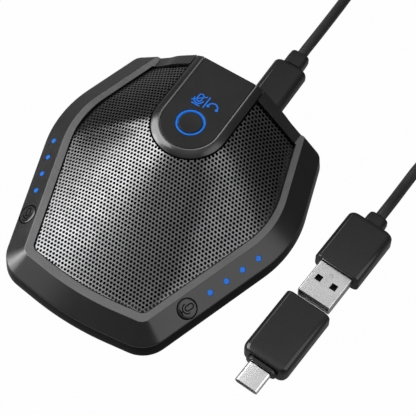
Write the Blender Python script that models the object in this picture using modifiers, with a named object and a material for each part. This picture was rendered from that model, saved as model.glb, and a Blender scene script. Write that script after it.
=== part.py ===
"""Conference microphone: hexagonal body with a perforated hood, its cable and a plug adapter."""
import math

import bmesh
import bpy
from mathutils import Matrix, Vector

# Clearances
GAP = 0.0003
OVERRUN = 0.002
SMALLEST_RADIUS = 0.0005
LEAST_FLAT = 0.0000005

# Plan of the band's outer edge, run by run from the straight back wall
BACK_HALF = 0.02894
SIDE_HALF = 0.03966
FRONT_HALF = 0.0227
REAR_RUN = 0.0336
SIDE_RUN = 0.05025
PEAK_RUN = 0.00305
PEAK_RADIUS = 0.095
FRONT_RADIUS = 0.0037
SIDE_RADIUS = 0.033
BACK_RADIUS = 0.0008
back_growth_share = 0.55
inward_growth_share = 0.35
ARC_STEPS = (4, 6, 6, 4)

# Rim and base levels: height over the table, and how far out of the band's edge
BAND_Z = 0.0115
SLOPE_Z = 0.0070
SLOPE_OUT = 0.00635
SEAM_Z = 0.0064
WIDEST_Z = 0.0019
WIDEST_OUT = 0.00675
BASE_Z = 0.0008
BASE_OUT = 0.0063
base_upper_share = (0.62, 0.45)
base_lower_share = (0.64, 0.75)

# Walls
RIM_WALL = 0.0016
SEAM_WALL = 0.0020
BASE_WALL = 0.0023
BACK_WALL = 0.0018
FLOOR = 0.0016
BAND_FRONT = 0.0029
BAND_SIDE = 0.0025
BAND_REAR = 0.0022
BAND_BACK = 0.0039
LEDGE = 0.0020
LEDGE_Z = 0.0101
LEDGE_THICK = 0.0014
LEDGE_ROOT = 0.0006

# Raised tongue: U-shaped bezel round the control panel
TONGUE_RUN = 0.0233
TONGUE_STEPS = 16
BEZEL_IN = 0.0098
BEZEL_LAND = 0.0103
BEZEL_OUT = 0.01265
BEZEL_TOP = 0.0263
BEZEL_DROP = 0.00125
BEZEL_CHAMFER = 0.0002
BEZEL_SKIRT = 0.0048
SKIRT_WALL = 0.0014
PANEL_LEDGE = 0.0012
PANEL_SEAT = 0.0014
PANEL_THICK = 0.0010
PANEL_RECESS = 0.0001

# Gable wall behind the hood
GABLE_FOOT = 0.0274
GABLE_SHOULDER_DROP = 0.0013
gable_shares = ((0, 0), (0.27, 0.267), (0.512, 0.548), (1, 1))

# Hood
HOOD_EDGE_Z = 0.0112
HOOD_FLANGE = 0.0007
HOOD_WALL = 0.0008
HOOD_DROP = 0.00095
HOOD_CROWN = 0.0123
HOOD_CROWN_DROP = 0.00105
CROWN_GAP = 0.00035
MESH_EDGE = 0.0025
MESH_EDGE_Z = 0.0109
MESH_DROP = 0.0016
MESH_WALL = 0.0004

# Mute key, light ring and what is under the panel
RING_RADIUS = 0.0047
RING_LINE = 0.0005
RING_FLANGE = 0.0012
KEY_THICK = 0.0018
KEY_STEM = 0.0015
MUTE_TRAVEL = 0.0005
PRESS_SPARE = 0.0001
STEM_LENGTH = 0.0022
LENS_HALF = 0.0052
LENS_RUN = 0.0082
LENS_THICK = 0.0008
SWITCH_HALF = 0.0030
SWITCH_THICK = 0.0015
ACTUATOR = 0.0008
CONTROL_HALF = 0.0108
CONTROL_RUN = 0.0260
CONTROL_THICK = 0.0010
CONTROL_BACK = 0.0060
PEG_RADIUS = 0.0018
PEG_X = 0.0094
PEG_RUN = 0.0120

# Light dots and round keys on the sloping rim, placed along the side edge from the front corner
LIGHT_FIRST = 0.0233
LIGHT_PITCH = 0.0064
LIGHT_COUNT = 4
LIGHT_OUT = 0.0034
LIGHT_RADIUS = 0.00085
BAR_DEPTH = 0.00225
BAR_THICK = 0.00135
BAR_HALF = 0.0018
BAR_END = 0.0022
SIDE_KEY_ALONG = 0.0142
SIDE_KEY_OUT = 0.0033
SIDE_KEY_RADIUS = 0.0031
SIDE_KEY_THICK = 0.0009
SIDE_KEY_STEM = 0.0014
SIDE_STEM_RADIUS = 0.0015
SIDE_KEY_TRAVEL = 0.0004
SIDE_SWITCH_HALF = 0.0018
SIDE_SWITCH_THICK = 0.0005
SIDE_BOARD_HALF = 0.0024
SIDE_BOARD_THICK = 0.0008
SIDE_BOARD_END = 0.0040

# Feet, case screws and posts
FOOT_RADIUS = 0.0045
FOOT_THICK = 0.0014
FOOT_EASE = 0.00035
BOSS_RADIUS = 0.0034
BOSS_TOP = 0.0044
HEAD_RADIUS = 0.0020
HEAD_THICK = 0.0008
HEAD_CEILING = 0.0030
SHAFT_RADIUS = 0.00095
SHAFT_TOP = 0.0082
POST_RADIUS = 0.0024
FRONT_POST_X = 0.0195
FRONT_POST_RUN = 0.0801
REAR_POST_X = 0.0270
REAR_POST_RUN = 0.0080

# Boards, weight and microphone capsules
BOARD_HALF = 0.0220
BOARD_RUN = 0.0500
BOARD_THICK = 0.0016
BOARD_LIFT = 0.00035
BOARD_CORNER = 0.0030
BOARD_SCREW_X = 0.0185
BOARD_SCREW_RUN = 0.0465
WEIGHT_HALF = 0.0200
WEIGHT_RUN = 0.0200
WEIGHT_THICK = 0.0022
CAPSULE_RADIUS = 0.0030
CAPSULE_HEIGHT = 0.0026
BOOT_WALL = 0.0008
CAPSULE_SIDE = 0.0140
CAPSULE_FRONT_RUN = 0.0460
CAPSULE_REAR_RUN = 0.0330
RIBBON_HALF = 0.0040
RIBBON_THICK = 0.0004
RIBBON_BULGE = 0.0030
RIBBON_FOOT_RUN = 0.0150
RIBBON_ROWS = 9

# Port in the back wall and the plug in it
PORT_X = 0.0097
PORT_Z = 0.00645
SOCKET_WIDTH = 0.00945
SOCKET_HEIGHT = 0.0036
SOCKET_LENGTH = 0.0075
SOCKET_WALL = 0.0003
SOCKET_DEPTH = 0.0069
SOCKET_TONGUE = (0.0067, 0.0007)
SOCKET_TONGUE_LENGTH = 0.0045
C_SHELL_WIDTH = 0.00825
C_SHELL_HEIGHT = 0.0024
C_SHELL_LENGTH = 0.0066
SHELL_WALL = 0.00035
C_PLUG_GAP = 0.0005
C_PLUG_WIDTH = 0.0122
C_PLUG_HEIGHT = 0.0064
C_PLUG_LENGTH = 0.0228
C_PLUG_RADIUS = 0.0026
BOOT_WIDTH = 0.0070
BOOT_HEIGHT = 0.0055
C_BOOT_LENGTH = 0.0060
BOOT_RADIUS = 0.0018
boot_taper_share = 0.8

# Larger plug on the table, placed from the port
A_PLUG_X = 0.0613
A_PLUG_RUN = 0.0333
A_PLUG_Z = 0.00405
A_PLUG_YAW = math.radians(-3.6)
A_PLUG_WIDTH = 0.0164
A_PLUG_HEIGHT = 0.0080
A_PLUG_LENGTH = 0.0200
A_PLUG_RADIUS = 0.0022
PLUG_EDGE = 0.0007
A_BOOT_LENGTH = 0.0043
A_SHELL_WIDTH = 0.0120
A_SHELL_HEIGHT = 0.0045
A_SHELL_LENGTH = 0.0123
A_SHELL_RADIUS = 0.0006
LATCH_HOLE = 0.0022
LATCH_X = 0.0028
LATCH_RUN = 0.00685
A_INSERT_THICK = 0.0016
A_INSERT_RECESS = 0.0008

# Adapter in front of it
ADAPTER_APART = 0.0152
ADAPTER_WIDTH = 0.0162
ADAPTER_LENGTH = 0.0243
ADAPTER_TAPER = 0.0026
adapter_front_share = 0.80
POCKET_DEPTH = 0.0132
RECEPTACLE_WALL = 0.0004
RECEPTACLE_LENGTH = 0.0126
ADAPTER_TONGUE = 0.0013
ADAPTER_TONGUE_RECESS = 0.0010
COLLAR_WIDTH = 0.0109
COLLAR_HEIGHT = 0.0048
COLLAR_LENGTH = 0.0011
ADAPTER_SHELL_HEIGHT = 0.0025
ADAPTER_SHELL_LENGTH = 0.0071

# Cable, its free runs chosen by hand as points over the table
CORD_RADIUS = 0.00181
CORD_REST = 0.00186
COIL_X = 0.0620
COIL_Y = 0.1323
COIL_OUTER = 0.02536
COIL_PITCH = 0.00415
LAYER_PITCH = 0.00410
COIL_LAYERS = 4
COIL_FULL_TURNS = 10
COIL_CLIMB_TURNS = 0.5
COIL_START = math.radians(120)
LOOP_POINTS = 24
DEVICE_ROUTE = (
    (0.00975, 0.0843, 0.0062), (0.0095, 0.0943, 0.0049), (0.0090, 0.1043, 0.0031),
    (0.0087, 0.1123, 0.0021), (0.0094, 0.1203, 0.00186), (0.0115, 0.1288, 0.00186),
    (0.0170, 0.1363, 0.00186), (0.0255, 0.1411, 0.00186), (0.0355, 0.1465, 0.00186),
)
PLUG_ROUTE = (
    (0.0870, 0.1158, 0.0126), (0.0848, 0.1073, 0.0102), (0.0803, 0.0988, 0.0074),
    (0.0748, 0.0903, 0.0049), (0.0696, 0.0813, 0.0030), (0.0656, 0.0723, 0.0021),
    (0.0638, 0.0637, 0.00186), (0.0633, 0.0550, 0.0021), (0.0632, 0.0473, 0.0031),
)


def clear_scene():
    for item in list(bpy.data.objects):
        bpy.data.objects.remove(item, do_unlink=True)


clear_scene()
PARTS = bpy.data.collections.new("conference_microphone")
CUTTERS = bpy.data.collections.new("cutters")
bpy.context.scene.collection.children.link(PARTS)
bpy.context.scene.collection.children.link(CUTTERS)


def finish(name, colour, roughness, metallic=0.0, glow=0.0):
    """Principled material in the part's own colour."""
    material = bpy.data.materials.new(name)
    material.use_nodes = True
    shader = material.node_tree.nodes["Principled BSDF"]
    shader.inputs["Base Color"].default_value = (*colour, 1)
    shader.inputs["Roughness"].default_value = roughness
    shader.inputs["Metallic"].default_value = metallic
    if glow:
        shader.inputs["Emission Color"].default_value = (*colour, 1)
        shader.inputs["Emission Strength"].default_value = glow
    return material


SATIN = finish("satin_housing", (0.045, 0.045, 0.047), 0.42)
BASE = finish("base_plastic", (0.012, 0.012, 0.013), 0.35)
HOOD = finish("hood_steel", (0.30, 0.30, 0.31), 0.38, 1.0)
CLOTH = finish("dust_cloth", (0.006, 0.006, 0.006), 0.9)
BEZEL = finish("bezel_plastic", (0.030, 0.030, 0.032), 0.3)
PANEL = finish("panel_plastic", (0.022, 0.022, 0.024), 0.4)
LIGHT = finish("blue_light", (0.02, 0.16, 0.95), 0.4, 0.0, 2.0)
LENS = finish("clear_lens", (0.30, 0.33, 0.36), 0.2)
RUBBER = finish("black_rubber", (0.015, 0.015, 0.015), 0.8)
STEEL = finish("plated_steel", (0.62, 0.62, 0.64), 0.25, 1.0)
WEIGHT = finish("weight_steel", (0.35, 0.35, 0.36), 0.5, 1.0)
CIRCUIT = finish("circuit_board", (0.015, 0.10, 0.04), 0.45)
SWITCH = finish("switch_plastic", (0.04, 0.04, 0.04), 0.5)
CAPSULE = finish("capsule_can", (0.55, 0.56, 0.58), 0.3, 1.0)
RIBBON = finish("ribbon_film", (0.35, 0.16, 0.03), 0.5)
MOULDING = finish("plug_moulding", (0.026, 0.026, 0.027), 0.3)
JACKET = finish("cable_jacket", (0.016, 0.016, 0.017), 0.4)
INSERT = finish("insert_plastic", (0.75, 0.75, 0.74), 0.5)


def add_object(name, mesh, material, cutter=False):
    """Put a mesh in the scene as a part, or as a cutter when it has no material."""
    item = bpy.data.objects.new(name, mesh)
    (CUTTERS if cutter else PARTS).objects.link(item)
    if cutter:
        item.hide_render = True
        item.display_type = "WIRE"
    if material is not None:
        mesh.materials.append(material)
    return item


def mesh_from(bm, name):
    bmesh.ops.recalc_face_normals(bm, faces=bm.faces)
    mesh = bpy.data.meshes.new(name)
    bm.to_mesh(mesh)
    bm.free()
    mesh.shade_smooth()
    mesh.set_sharp_from_angle(angle=math.radians(35))
    return mesh


def loft(name, rings, material=None, closed=False):
    """Skin rings of equal count: capped at both ends, or closed round into a loop."""
    bm = bmesh.new()
    loops = [[bm.verts.new(point) for point in points] for points in rings]
    pairs = list(zip(loops, loops[1:]))
    if closed:
        pairs.append((loops[-1], loops[0]))
    for lower, upper in pairs:
        for index, vertex in enumerate(lower):
            after = (index + 1) % len(lower)
            bm.faces.new((vertex, lower[after], upper[after], upper[index]))
    if not closed:
        bm.faces.new(loops[0])
        bm.faces.new(loops[-1])
    return add_object(name, mesh_from(bm, name), material, material is None)


def hull(name, points, material=None):
    """Convex solid over points, made of flat facets and corner fans."""
    bm = bmesh.new()
    for point in points:
        bm.verts.new(point)
    made = bmesh.ops.convex_hull(bm, input=bm.verts)
    inside = [item for item in made["geom_interior"] if isinstance(item, bmesh.types.BMVert)]
    bmesh.ops.delete(bm, geom=inside, context="VERTS")
    return add_object(name, mesh_from(bm, name), material, material is None)


def cylinder(name, radius, bottom, top, place, material=None, sides=24):
    """Round bar along the local Z of place, from bottom to top."""
    bm = bmesh.new()
    bmesh.ops.create_cone(
        bm, cap_ends=True, segments=sides, radius1=radius, radius2=radius, depth=top - bottom,
        matrix=Matrix.Translation((0, 0, (top + bottom) / 2)),
    )
    item = add_object(name, mesh_from(bm, name), material, material is None)
    item.matrix_world = place
    return item


def box(name, low, high, place, material=None):
    """Box between two local corners."""
    low, high = Vector(low), Vector(high)
    size = high - low
    bm = bmesh.new()
    bmesh.ops.create_cube(
        bm, size=1, matrix=Matrix.Translation((low + high) / 2) @ Matrix.Diagonal((*size, 1))
    )
    item = add_object(name, mesh_from(bm, name), material, material is None)
    item.matrix_world = place
    return item


def turned(name, profile, place, material, steps=32):
    """Solid turned about local Z from a profile that runs down its outer side."""
    mesh = bpy.data.meshes.new(name)
    edges = [(index, index + 1) for index in range(len(profile) - 1)]
    if profile[0][0] > 0:
        edges.append((len(profile) - 1, 0))
    mesh.from_pydata([(radius, 0, z) for radius, z in profile], edges, [])
    item = add_object(name, mesh, material)
    item.matrix_world = place
    screw = item.modifiers.new("turn", "SCREW")
    screw.steps = steps
    screw.render_steps = steps
    screw.use_merge_vertices = True
    screw.merge_threshold = 0.00001
    return item


def combine(target, piece, operation):
    change = target.modifiers.new(operation.lower(), "BOOLEAN")
    change.operation = operation
    change.solver = "EXACT"
    change.object = piece


def cut(target, *pieces):
    for piece in pieces:
        combine(target, piece, "DIFFERENCE")


def join(target, *pieces):
    for piece in pieces:
        combine(target, piece, "UNION")


def at(x, y, z=0.0):
    return Matrix.Translation((x, y, z))


def offset_line(start, end, out):
    along = (end - start).normalized()
    return start + Vector((along.y, -along.x)) * out, along


def meet(first, second):
    (start, along), (other, other_along) = first, second
    cross = along.x * other_along.y - along.y * other_along.x
    between = other - start
    reach = (between.x * other_along.y - between.y * other_along.x) / cross
    return start + along * reach


def fillet(corner, before, after, radius, steps):
    """Arc that rounds a corner between two directions, turning left."""
    turn = math.atan2(before.x * after.y - before.y * after.x, before.dot(after))
    start = corner - before * radius * math.tan(turn / 2)
    centre = start + Vector((-before.y, before.x)) * radius
    arm = start - centre
    points = []
    for step in range(steps + 1):
        angle = turn * step / steps
        points.append(centre + Matrix.Rotation(angle, 2) @ arm)
    return points


def grown(radius, out, share):
    growth = out * share if out > 0 else out * inward_growth_share
    return max(radius + growth, SMALLEST_RADIUS)


BAND_CORNERS = (
    Vector((0, -REAR_RUN - SIDE_RUN - PEAK_RUN)),
    Vector((FRONT_HALF, -REAR_RUN - SIDE_RUN)),
    Vector((SIDE_HALF, -REAR_RUN)),
    Vector((BACK_HALF, 0)),
    Vector((-BACK_HALF, 0)),
)


def plan(front, side, rear, back):
    """Outline of the body with each edge moved out, from the front peak round to the left."""
    outs = (front, side, rear, back)
    lines = [
        offset_line(BAND_CORNERS[index], BAND_CORNERS[index + 1], outs[index]) for index in range(4)
    ]
    middle = (Vector((0, 0)), Vector((0, 1)))
    corners = (meet(lines[0], middle), *(meet(lines[index], lines[index + 1]) for index in range(3)))
    along = [line[1] for line in lines]
    before = (Vector((along[0].x, -along[0].y)), along[0], along[1], along[2])
    radii = (
        PEAK_RADIUS + front,
        grown(FRONT_RADIUS, (front + side) / 2, 1),
        grown(SIDE_RADIUS, (side + rear) / 2, 1),
        grown(BACK_RADIUS, rear, back_growth_share),
    )
    half = []
    for index, corner in enumerate(corners):
        arc = fillet(corner, before[index], along[index], radii[index], ARC_STEPS[index])
        half += arc[len(arc) // 2:] if index == 0 else arc
    return half + [Vector((-point.x, point.y)) for point in reversed(half[1:])]


WIDEST = plan(WIDEST_OUT, WIDEST_OUT, WIDEST_OUT, 0)
BACK_Y = -min(point.y for point in WIDEST) / 2
TONGUE_Y = BACK_Y - TONGUE_RUN


def ring(z, outs, back=0.0):
    front, side, rear = outs if isinstance(outs, tuple) else (outs, outs, outs)
    return [Vector((point.x, point.y + BACK_Y, z)) for point in plan(front, side, rear, back)]


def band_inset(extra=0.0):
    return -BAND_FRONT - extra, -BAND_SIDE - extra, -BAND_REAR - extra


def rim_normal():
    """Outward direction of the sloping rim, as (out, up)."""
    return Vector((BAND_Z - SLOPE_Z, SLOPE_OUT)).normalized()


def rim_height(out):
    """Height of the rim's slope at a distance out of the band's edge."""
    return BAND_Z + (SLOPE_Z - BAND_Z) * out / SLOPE_OUT


def rim_frame(side, along, out):
    """Frame on the sloping rim: Z out of the surface, Y along the side edge to the back."""
    start = BAND_CORNERS[1]
    edge = (BAND_CORNERS[2] - start).normalized()
    spot = start + edge * along + Vector((edge.y, -edge.x)) * out
    lean = rim_normal()
    normal = Vector((side * edge.y * lean.x, -edge.x * lean.x, lean.y))
    forward = Vector((side * edge.x, edge.y, 0))
    across = forward.cross(normal)
    place = Matrix((across, forward, normal)).transposed().to_4x4()
    place.translation = (side * spot.x, spot.y + BACK_Y, rim_height(out))
    return place


def tongue_outline(half, z, back_y):
    """U outline of the tongue: straight sides from the back, round front end."""
    points = [Vector((half, back_y, z))]
    for step in range(TONGUE_STEPS + 1):
        angle = math.pi * step / TONGUE_STEPS
        points.append(Vector((half * math.cos(angle), TONGUE_Y - half * math.sin(angle), z)))
    points.append(Vector((-half, back_y, z)))
    return points


def post_places():
    """Screw posts under the ledge, front pair then rear pair."""
    spots = ((FRONT_POST_X, FRONT_POST_RUN), (REAR_POST_X, REAR_POST_RUN))
    return [(side * x, BACK_Y - run) for x, run in spots for side in (-1, 1)]


def rounded_ring(width, height, radius, along, steps=4):
    """Rounded rectangle across the local Y axis."""
    radius = min(radius, width / 2, height / 2) - LEAST_FLAT / 2
    points = []
    corners = ((1, 1, 0), (-1, 1, 1), (-1, -1, 2), (1, -1, 3))
    for right, up, quarter in corners:
        for step in range(steps + 1):
            angle = (quarter + step / steps) * math.pi / 2
            x = right * (width / 2 - radius) + radius * math.cos(angle)
            z = up * (height / 2 - radius) + radius * math.sin(angle)
            points.append(Vector((x, along, z)))
    return points


def bar(name, frame, stations, material=None, steps=4):
    """Rounded bar along local Y through (along, width, height, radius) stations."""
    rings = []
    for along, width, height, radius in stations:
        rings.append([frame @ point for point in rounded_ring(width, height, radius, along, steps)])
    return loft(name, rings, material)


def moulding(name, frame, start, end, width, height, radius, material):
    """Moulded grip whose end edges are eased."""
    slim, low = width - 2 * PLUG_EDGE, height - 2 * PLUG_EDGE
    inner = radius - PLUG_EDGE / 2
    stations = (
        (start, slim, low, inner), (start + PLUG_EDGE, width, height, radius),
        (end - PLUG_EDGE, width, height, radius), (end, slim, low, inner),
    )
    return bar(name, frame, stations, material)


def sleeve(name, frame, start, end, width, height, radius, wall, material, steps=4):
    """Open metal tube with a rounded rectangular section."""
    bore_radius = max(radius - wall, SMALLEST_RADIUS / 2)
    sections = (
        (start, width, height, radius), (end, width, height, radius),
        (end, width - 2 * wall, height - 2 * wall, bore_radius),
        (start, width - 2 * wall, height - 2 * wall, bore_radius),
    )
    rings = []
    for along, wide, high, corner in sections:
        rings.append([frame @ point for point in rounded_ring(wide, high, corner, along, steps)])
    return loft(name, rings, material, closed=True)


def build_base():
    """Base tray with screw bosses, foot recesses and the lower half of the port."""
    top_z = SEAM_Z - GAP
    upper_out = SLOPE_OUT + (WIDEST_OUT - SLOPE_OUT) * base_upper_share[0]
    upper_z = top_z + (WIDEST_Z - top_z) * base_upper_share[1]
    lower_out = WIDEST_OUT + (BASE_OUT - WIDEST_OUT) * (1 - base_lower_share[0])
    lower_z = WIDEST_Z + (BASE_Z - WIDEST_Z) * base_lower_share[1]
    floor_z = BASE_Z + FLOOR
    base = loft("base_shell", (
        ring(BASE_Z, BASE_OUT), ring(lower_z, lower_out), ring(WIDEST_Z, WIDEST_OUT),
        ring(upper_z, upper_out), ring(top_z, SLOPE_OUT),
        ring(top_z, SLOPE_OUT - BASE_WALL, -BACK_WALL),
        ring(floor_z, WIDEST_OUT - BASE_WALL, -BACK_WALL),
    ), BASE)
    recess_top = FOOT_THICK + GAP
    for index, (x, y) in enumerate(post_places()):
        join(base, cylinder(f"boss_{index}", BOSS_RADIUS, BASE_Z + FLOOR / 2, BOSS_TOP, at(x, y)))
        bore = SHAFT_RADIUS + GAP
        cut(
            base,
            cylinder(f"foot_recess_{index}", FOOT_RADIUS + GAP, 0, recess_top, at(x, y)),
            cylinder(f"head_bore_{index}", HEAD_RADIUS + GAP, BASE_Z, HEAD_CEILING, at(x, y)),
            cylinder(f"boss_bore_{index}", bore, BASE_Z, BOSS_TOP + OVERRUN, at(x, y)),
        )
        turned(f"foot_{index + 1}", (
            (0, FOOT_THICK), (FOOT_RADIUS, FOOT_THICK), (FOOT_RADIUS, FOOT_EASE),
            (FOOT_RADIUS - FOOT_EASE, 0), (0, 0),
        ), at(x, y), RUBBER, 24)
        head_top = HEAD_CEILING - GAP
        head_bottom = head_top - HEAD_THICK
        turned(f"base_screw_{index + 1}", (
            (0, SHAFT_TOP), (SHAFT_RADIUS, SHAFT_TOP), (SHAFT_RADIUS, head_top),
            (HEAD_RADIUS, head_top), (HEAD_RADIUS, head_bottom), (0, head_bottom),
        ), at(x, y), STEEL, 16)
    cut(base, port_cutter("base_port"))
    board_top = floor_z + BOARD_LIFT + BOARD_THICK
    for side, label in ((-1, "left"), (1, "right")):
        place = at(side * BOARD_SCREW_X, BACK_Y - BOARD_SCREW_RUN)
        low = BASE_Z + FLOOR / 4
        cut(base, cylinder(f"board_bore_{label}", SHAFT_RADIUS + GAP, low, BOSS_TOP, place))
        head_low = board_top + GAP
        turned(f"board_screw_{label}", (
            (0, head_low + HEAD_THICK), (HEAD_RADIUS, head_low + HEAD_THICK), (HEAD_RADIUS, head_low),
            (SHAFT_RADIUS, head_low), (SHAFT_RADIUS, low + GAP), (0, low + GAP),
        ), place, STEEL, 16)


def port_cutter(name):
    frame = at(PORT_X, BACK_Y, PORT_Z)
    width, height = SOCKET_WIDTH + 2 * GAP, SOCKET_HEIGHT + 2 * GAP
    return bar(name, frame, (
        (-BACK_WALL - OVERRUN, width, height, height / 2), (OVERRUN, width, height, height / 2),
    ))


def gable_outline(y):
    """Gable profile with the notch that carries the bezel's back ends."""
    shoulder = BEZEL_OUT + GAP
    skirt_z = BEZEL_TOP - BEZEL_SKIRT - GAP
    seat_z = BEZEL_TOP - PANEL_SEAT - PANEL_LEDGE + 2 * BEZEL_CHAMFER - GAP
    panel_z = BEZEL_TOP - PANEL_RECESS - PANEL_THICK - GAP
    skirt_in = BEZEL_OUT - SKIRT_WALL - GAP
    post = BEZEL_IN - PANEL_LEDGE - GAP
    half = [(GABLE_FOOT, LEDGE_Z)]
    for across, rise in gable_shares:
        x = GABLE_FOOT + (shoulder - GABLE_FOOT) * across
        half.append((x, BAND_Z + (BEZEL_TOP - GABLE_SHOULDER_DROP - BAND_Z) * rise))
    half += [
        (shoulder, skirt_z), (skirt_in, skirt_z), (skirt_in, seat_z), (post, seat_z), (post, panel_z),
    ]
    full = half + [(-x, z) for x, z in reversed(half)]
    return [Vector((x, y, z)) for x, z in full]


def build_rim():
    """Rim housing: sloping rim, band, ledge for the hood, gable wall and screw posts."""
    lean = rim_normal()
    middle_out = SLOPE_OUT / 2 - RIM_WALL * lean.x
    middle_z = (BAND_Z + SLOPE_Z) / 2 - RIM_WALL * lean.y
    ledge_low = LEDGE_Z - LEDGE_THICK
    rings = [
        ring(BAND_Z, 0), ring(SLOPE_Z, SLOPE_OUT), ring(SEAM_Z, SLOPE_OUT),
        ring(SEAM_Z, SLOPE_OUT - SEAM_WALL, -BACK_WALL),
        ring(middle_z, middle_out, -BACK_WALL),
        ring(ledge_low, LEDGE_ROOT, -BACK_WALL),
        ring(ledge_low, band_inset(LEDGE), -BAND_BACK - LEDGE),
        ring(LEDGE_Z, band_inset(LEDGE), -BAND_BACK - LEDGE),
        ring(LEDGE_Z, band_inset(), -BAND_BACK),
        ring(BAND_Z, band_inset(), -BAND_BACK),
    ]
    rim = loft("rim_housing", rings, SATIN, closed=True)
    join(rim, loft("gable_wall", (gable_outline(BACK_Y), gable_outline(BACK_Y - BAND_BACK))))
    post_low = BOSS_TOP + GAP
    for index, (x, y) in enumerate(post_places()):
        join(rim, cylinder(f"post_{index}", POST_RADIUS, post_low, LEDGE_Z - GAP, at(x, y), sides=20))
        bore = SHAFT_RADIUS + GAP
        cut(rim, cylinder(f"post_bore_{index}", bore, 0, SHAFT_TOP + GAP, at(x, y), sides=16))
    cut(rim, port_cutter("rim_port"))
    for side, label in ((-1, "left"), (1, "right")):
        for index, along in enumerate(light_places()):
            place = rim_frame(side, along, LIGHT_OUT)
            hole = LIGHT_RADIUS + GAP
            cut(rim, cylinder(f"light_hole_{label}_{index}", hole, -BAR_DEPTH, OVERRUN, place, sides=16))
        place = rim_frame(side, SIDE_KEY_ALONG, SIDE_KEY_OUT)
        hole = SIDE_KEY_RADIUS + GAP
        cut(rim, cylinder(f"key_hole_{label}", hole, -BAR_DEPTH - GAP, OVERRUN, place, sides=32))


def light_places():
    return [LIGHT_FIRST + LIGHT_PITCH * index for index in range(LIGHT_COUNT)]


def build_side(side, label):
    """Light bar, round key, its switch and the board behind them on one side."""
    lights = light_places()
    middle = (lights[0] + lights[-1]) / 2
    place = rim_frame(side, middle, LIGHT_OUT)
    half_run = (lights[-1] - lights[0]) / 2 + BAR_END
    strip = box(
        f"led_bar_{label}", (-BAR_HALF, -half_run, -BAR_DEPTH - BAR_THICK),
        (BAR_HALF, half_run, -BAR_DEPTH), place, LIGHT,
    )
    for index, along in enumerate(lights):
        spot = rim_frame(side, along, LIGHT_OUT)
        low = -BAR_DEPTH - BAR_THICK / 2
        join(strip, cylinder(f"light_dot_{label}_{index}", LIGHT_RADIUS, low, 0, spot, sides=16))

    place = rim_frame(side, SIDE_KEY_ALONG, SIDE_KEY_OUT)
    key = cylinder(f"mic_key_{label}", SIDE_KEY_RADIUS, -SIDE_KEY_THICK, 0, place, SATIN, 32)
    stem_low = -SIDE_KEY_THICK - SIDE_KEY_STEM
    stem_high = -SIDE_KEY_THICK / 2
    join(key, cylinder(f"key_stem_{label}", SIDE_STEM_RADIUS, stem_low, stem_high, place, sides=16))

    board_top = -BAR_DEPTH - BAR_THICK - GAP
    actuator_top = stem_low - SIDE_KEY_TRAVEL - PRESS_SPARE
    body_low = board_top + GAP
    body_top = body_low + SIDE_SWITCH_THICK
    switch = box(
        f"mic_switch_{label}", (-SIDE_SWITCH_HALF, -SIDE_SWITCH_HALF, body_low),
        (SIDE_SWITCH_HALF, SIDE_SWITCH_HALF, body_top), place, SWITCH,
    )
    nub = SIDE_SWITCH_HALF / 2
    join(switch, cylinder(f"side_nub_{label}", nub, body_low + GAP, actuator_top, place, sides=16))
    reach = lights[-1] - SIDE_KEY_ALONG + SIDE_BOARD_END / 2
    box(
        f"side_board_{label}", (-SIDE_BOARD_HALF, -SIDE_BOARD_END, board_top - SIDE_BOARD_THICK),
        (SIDE_BOARD_HALF, reach, board_top), place, CIRCUIT,
    )


def build_hood():
    """Perforated hood and the dust mesh under it, as hulls over the band and the tongue."""
    back = -BAND_BACK - GAP
    crown_y = BACK_Y + back
    crown_z = BEZEL_TOP - HOOD_CROWN_DROP
    flange_z = HOOD_EDGE_Z - HOOD_FLANGE
    hood = hull("grille", (
        ring(flange_z, band_inset(GAP), back) + ring(HOOD_EDGE_Z, band_inset(GAP), back)
        + tongue_outline(HOOD_CROWN, crown_z, crown_y)
    ), HOOD)
    inset = band_inset(GAP + HOOD_WALL)
    cut(hood, hull("hood_hollow", (
        ring(flange_z - OVERRUN, inset, back + OVERRUN)
        + ring(HOOD_EDGE_Z - HOOD_DROP / 2, inset, back + OVERRUN)
        + tongue_outline(HOOD_CROWN, crown_z - HOOD_DROP, crown_y + OVERRUN)
    )), tongue_cutter("hood_crown", BEZEL_OUT + CROWN_GAP))

    mesh_back = back - GAP
    mesh_y = BACK_Y + mesh_back
    edge = band_inset(MESH_EDGE)
    crown_z -= MESH_DROP
    dust = hull("dust_mesh", (
        ring(MESH_EDGE_Z, edge, mesh_back) + tongue_outline(HOOD_CROWN, crown_z, mesh_y)
    ), CLOTH)
    edge = band_inset(MESH_EDGE + MESH_WALL)
    cut(dust, hull("mesh_hollow", (
        ring(MESH_EDGE_Z - OVERRUN, edge, mesh_back + OVERRUN)
        + ring(MESH_EDGE_Z - MESH_WALL / 2, edge, mesh_back + OVERRUN)
        + tongue_outline(HOOD_CROWN, crown_z - MESH_WALL, mesh_y + OVERRUN)
    )), tongue_cutter("mesh_crown", BEZEL_OUT + CROWN_GAP + GAP))


def tongue_cutter(name, half):
    low, high = BEZEL_TOP - 2 * BEZEL_SKIRT, BEZEL_TOP + OVERRUN
    back_y = BACK_Y + OVERRUN
    return loft(name, (tongue_outline(half, low, back_y), tongue_outline(half, high, back_y)))


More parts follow.
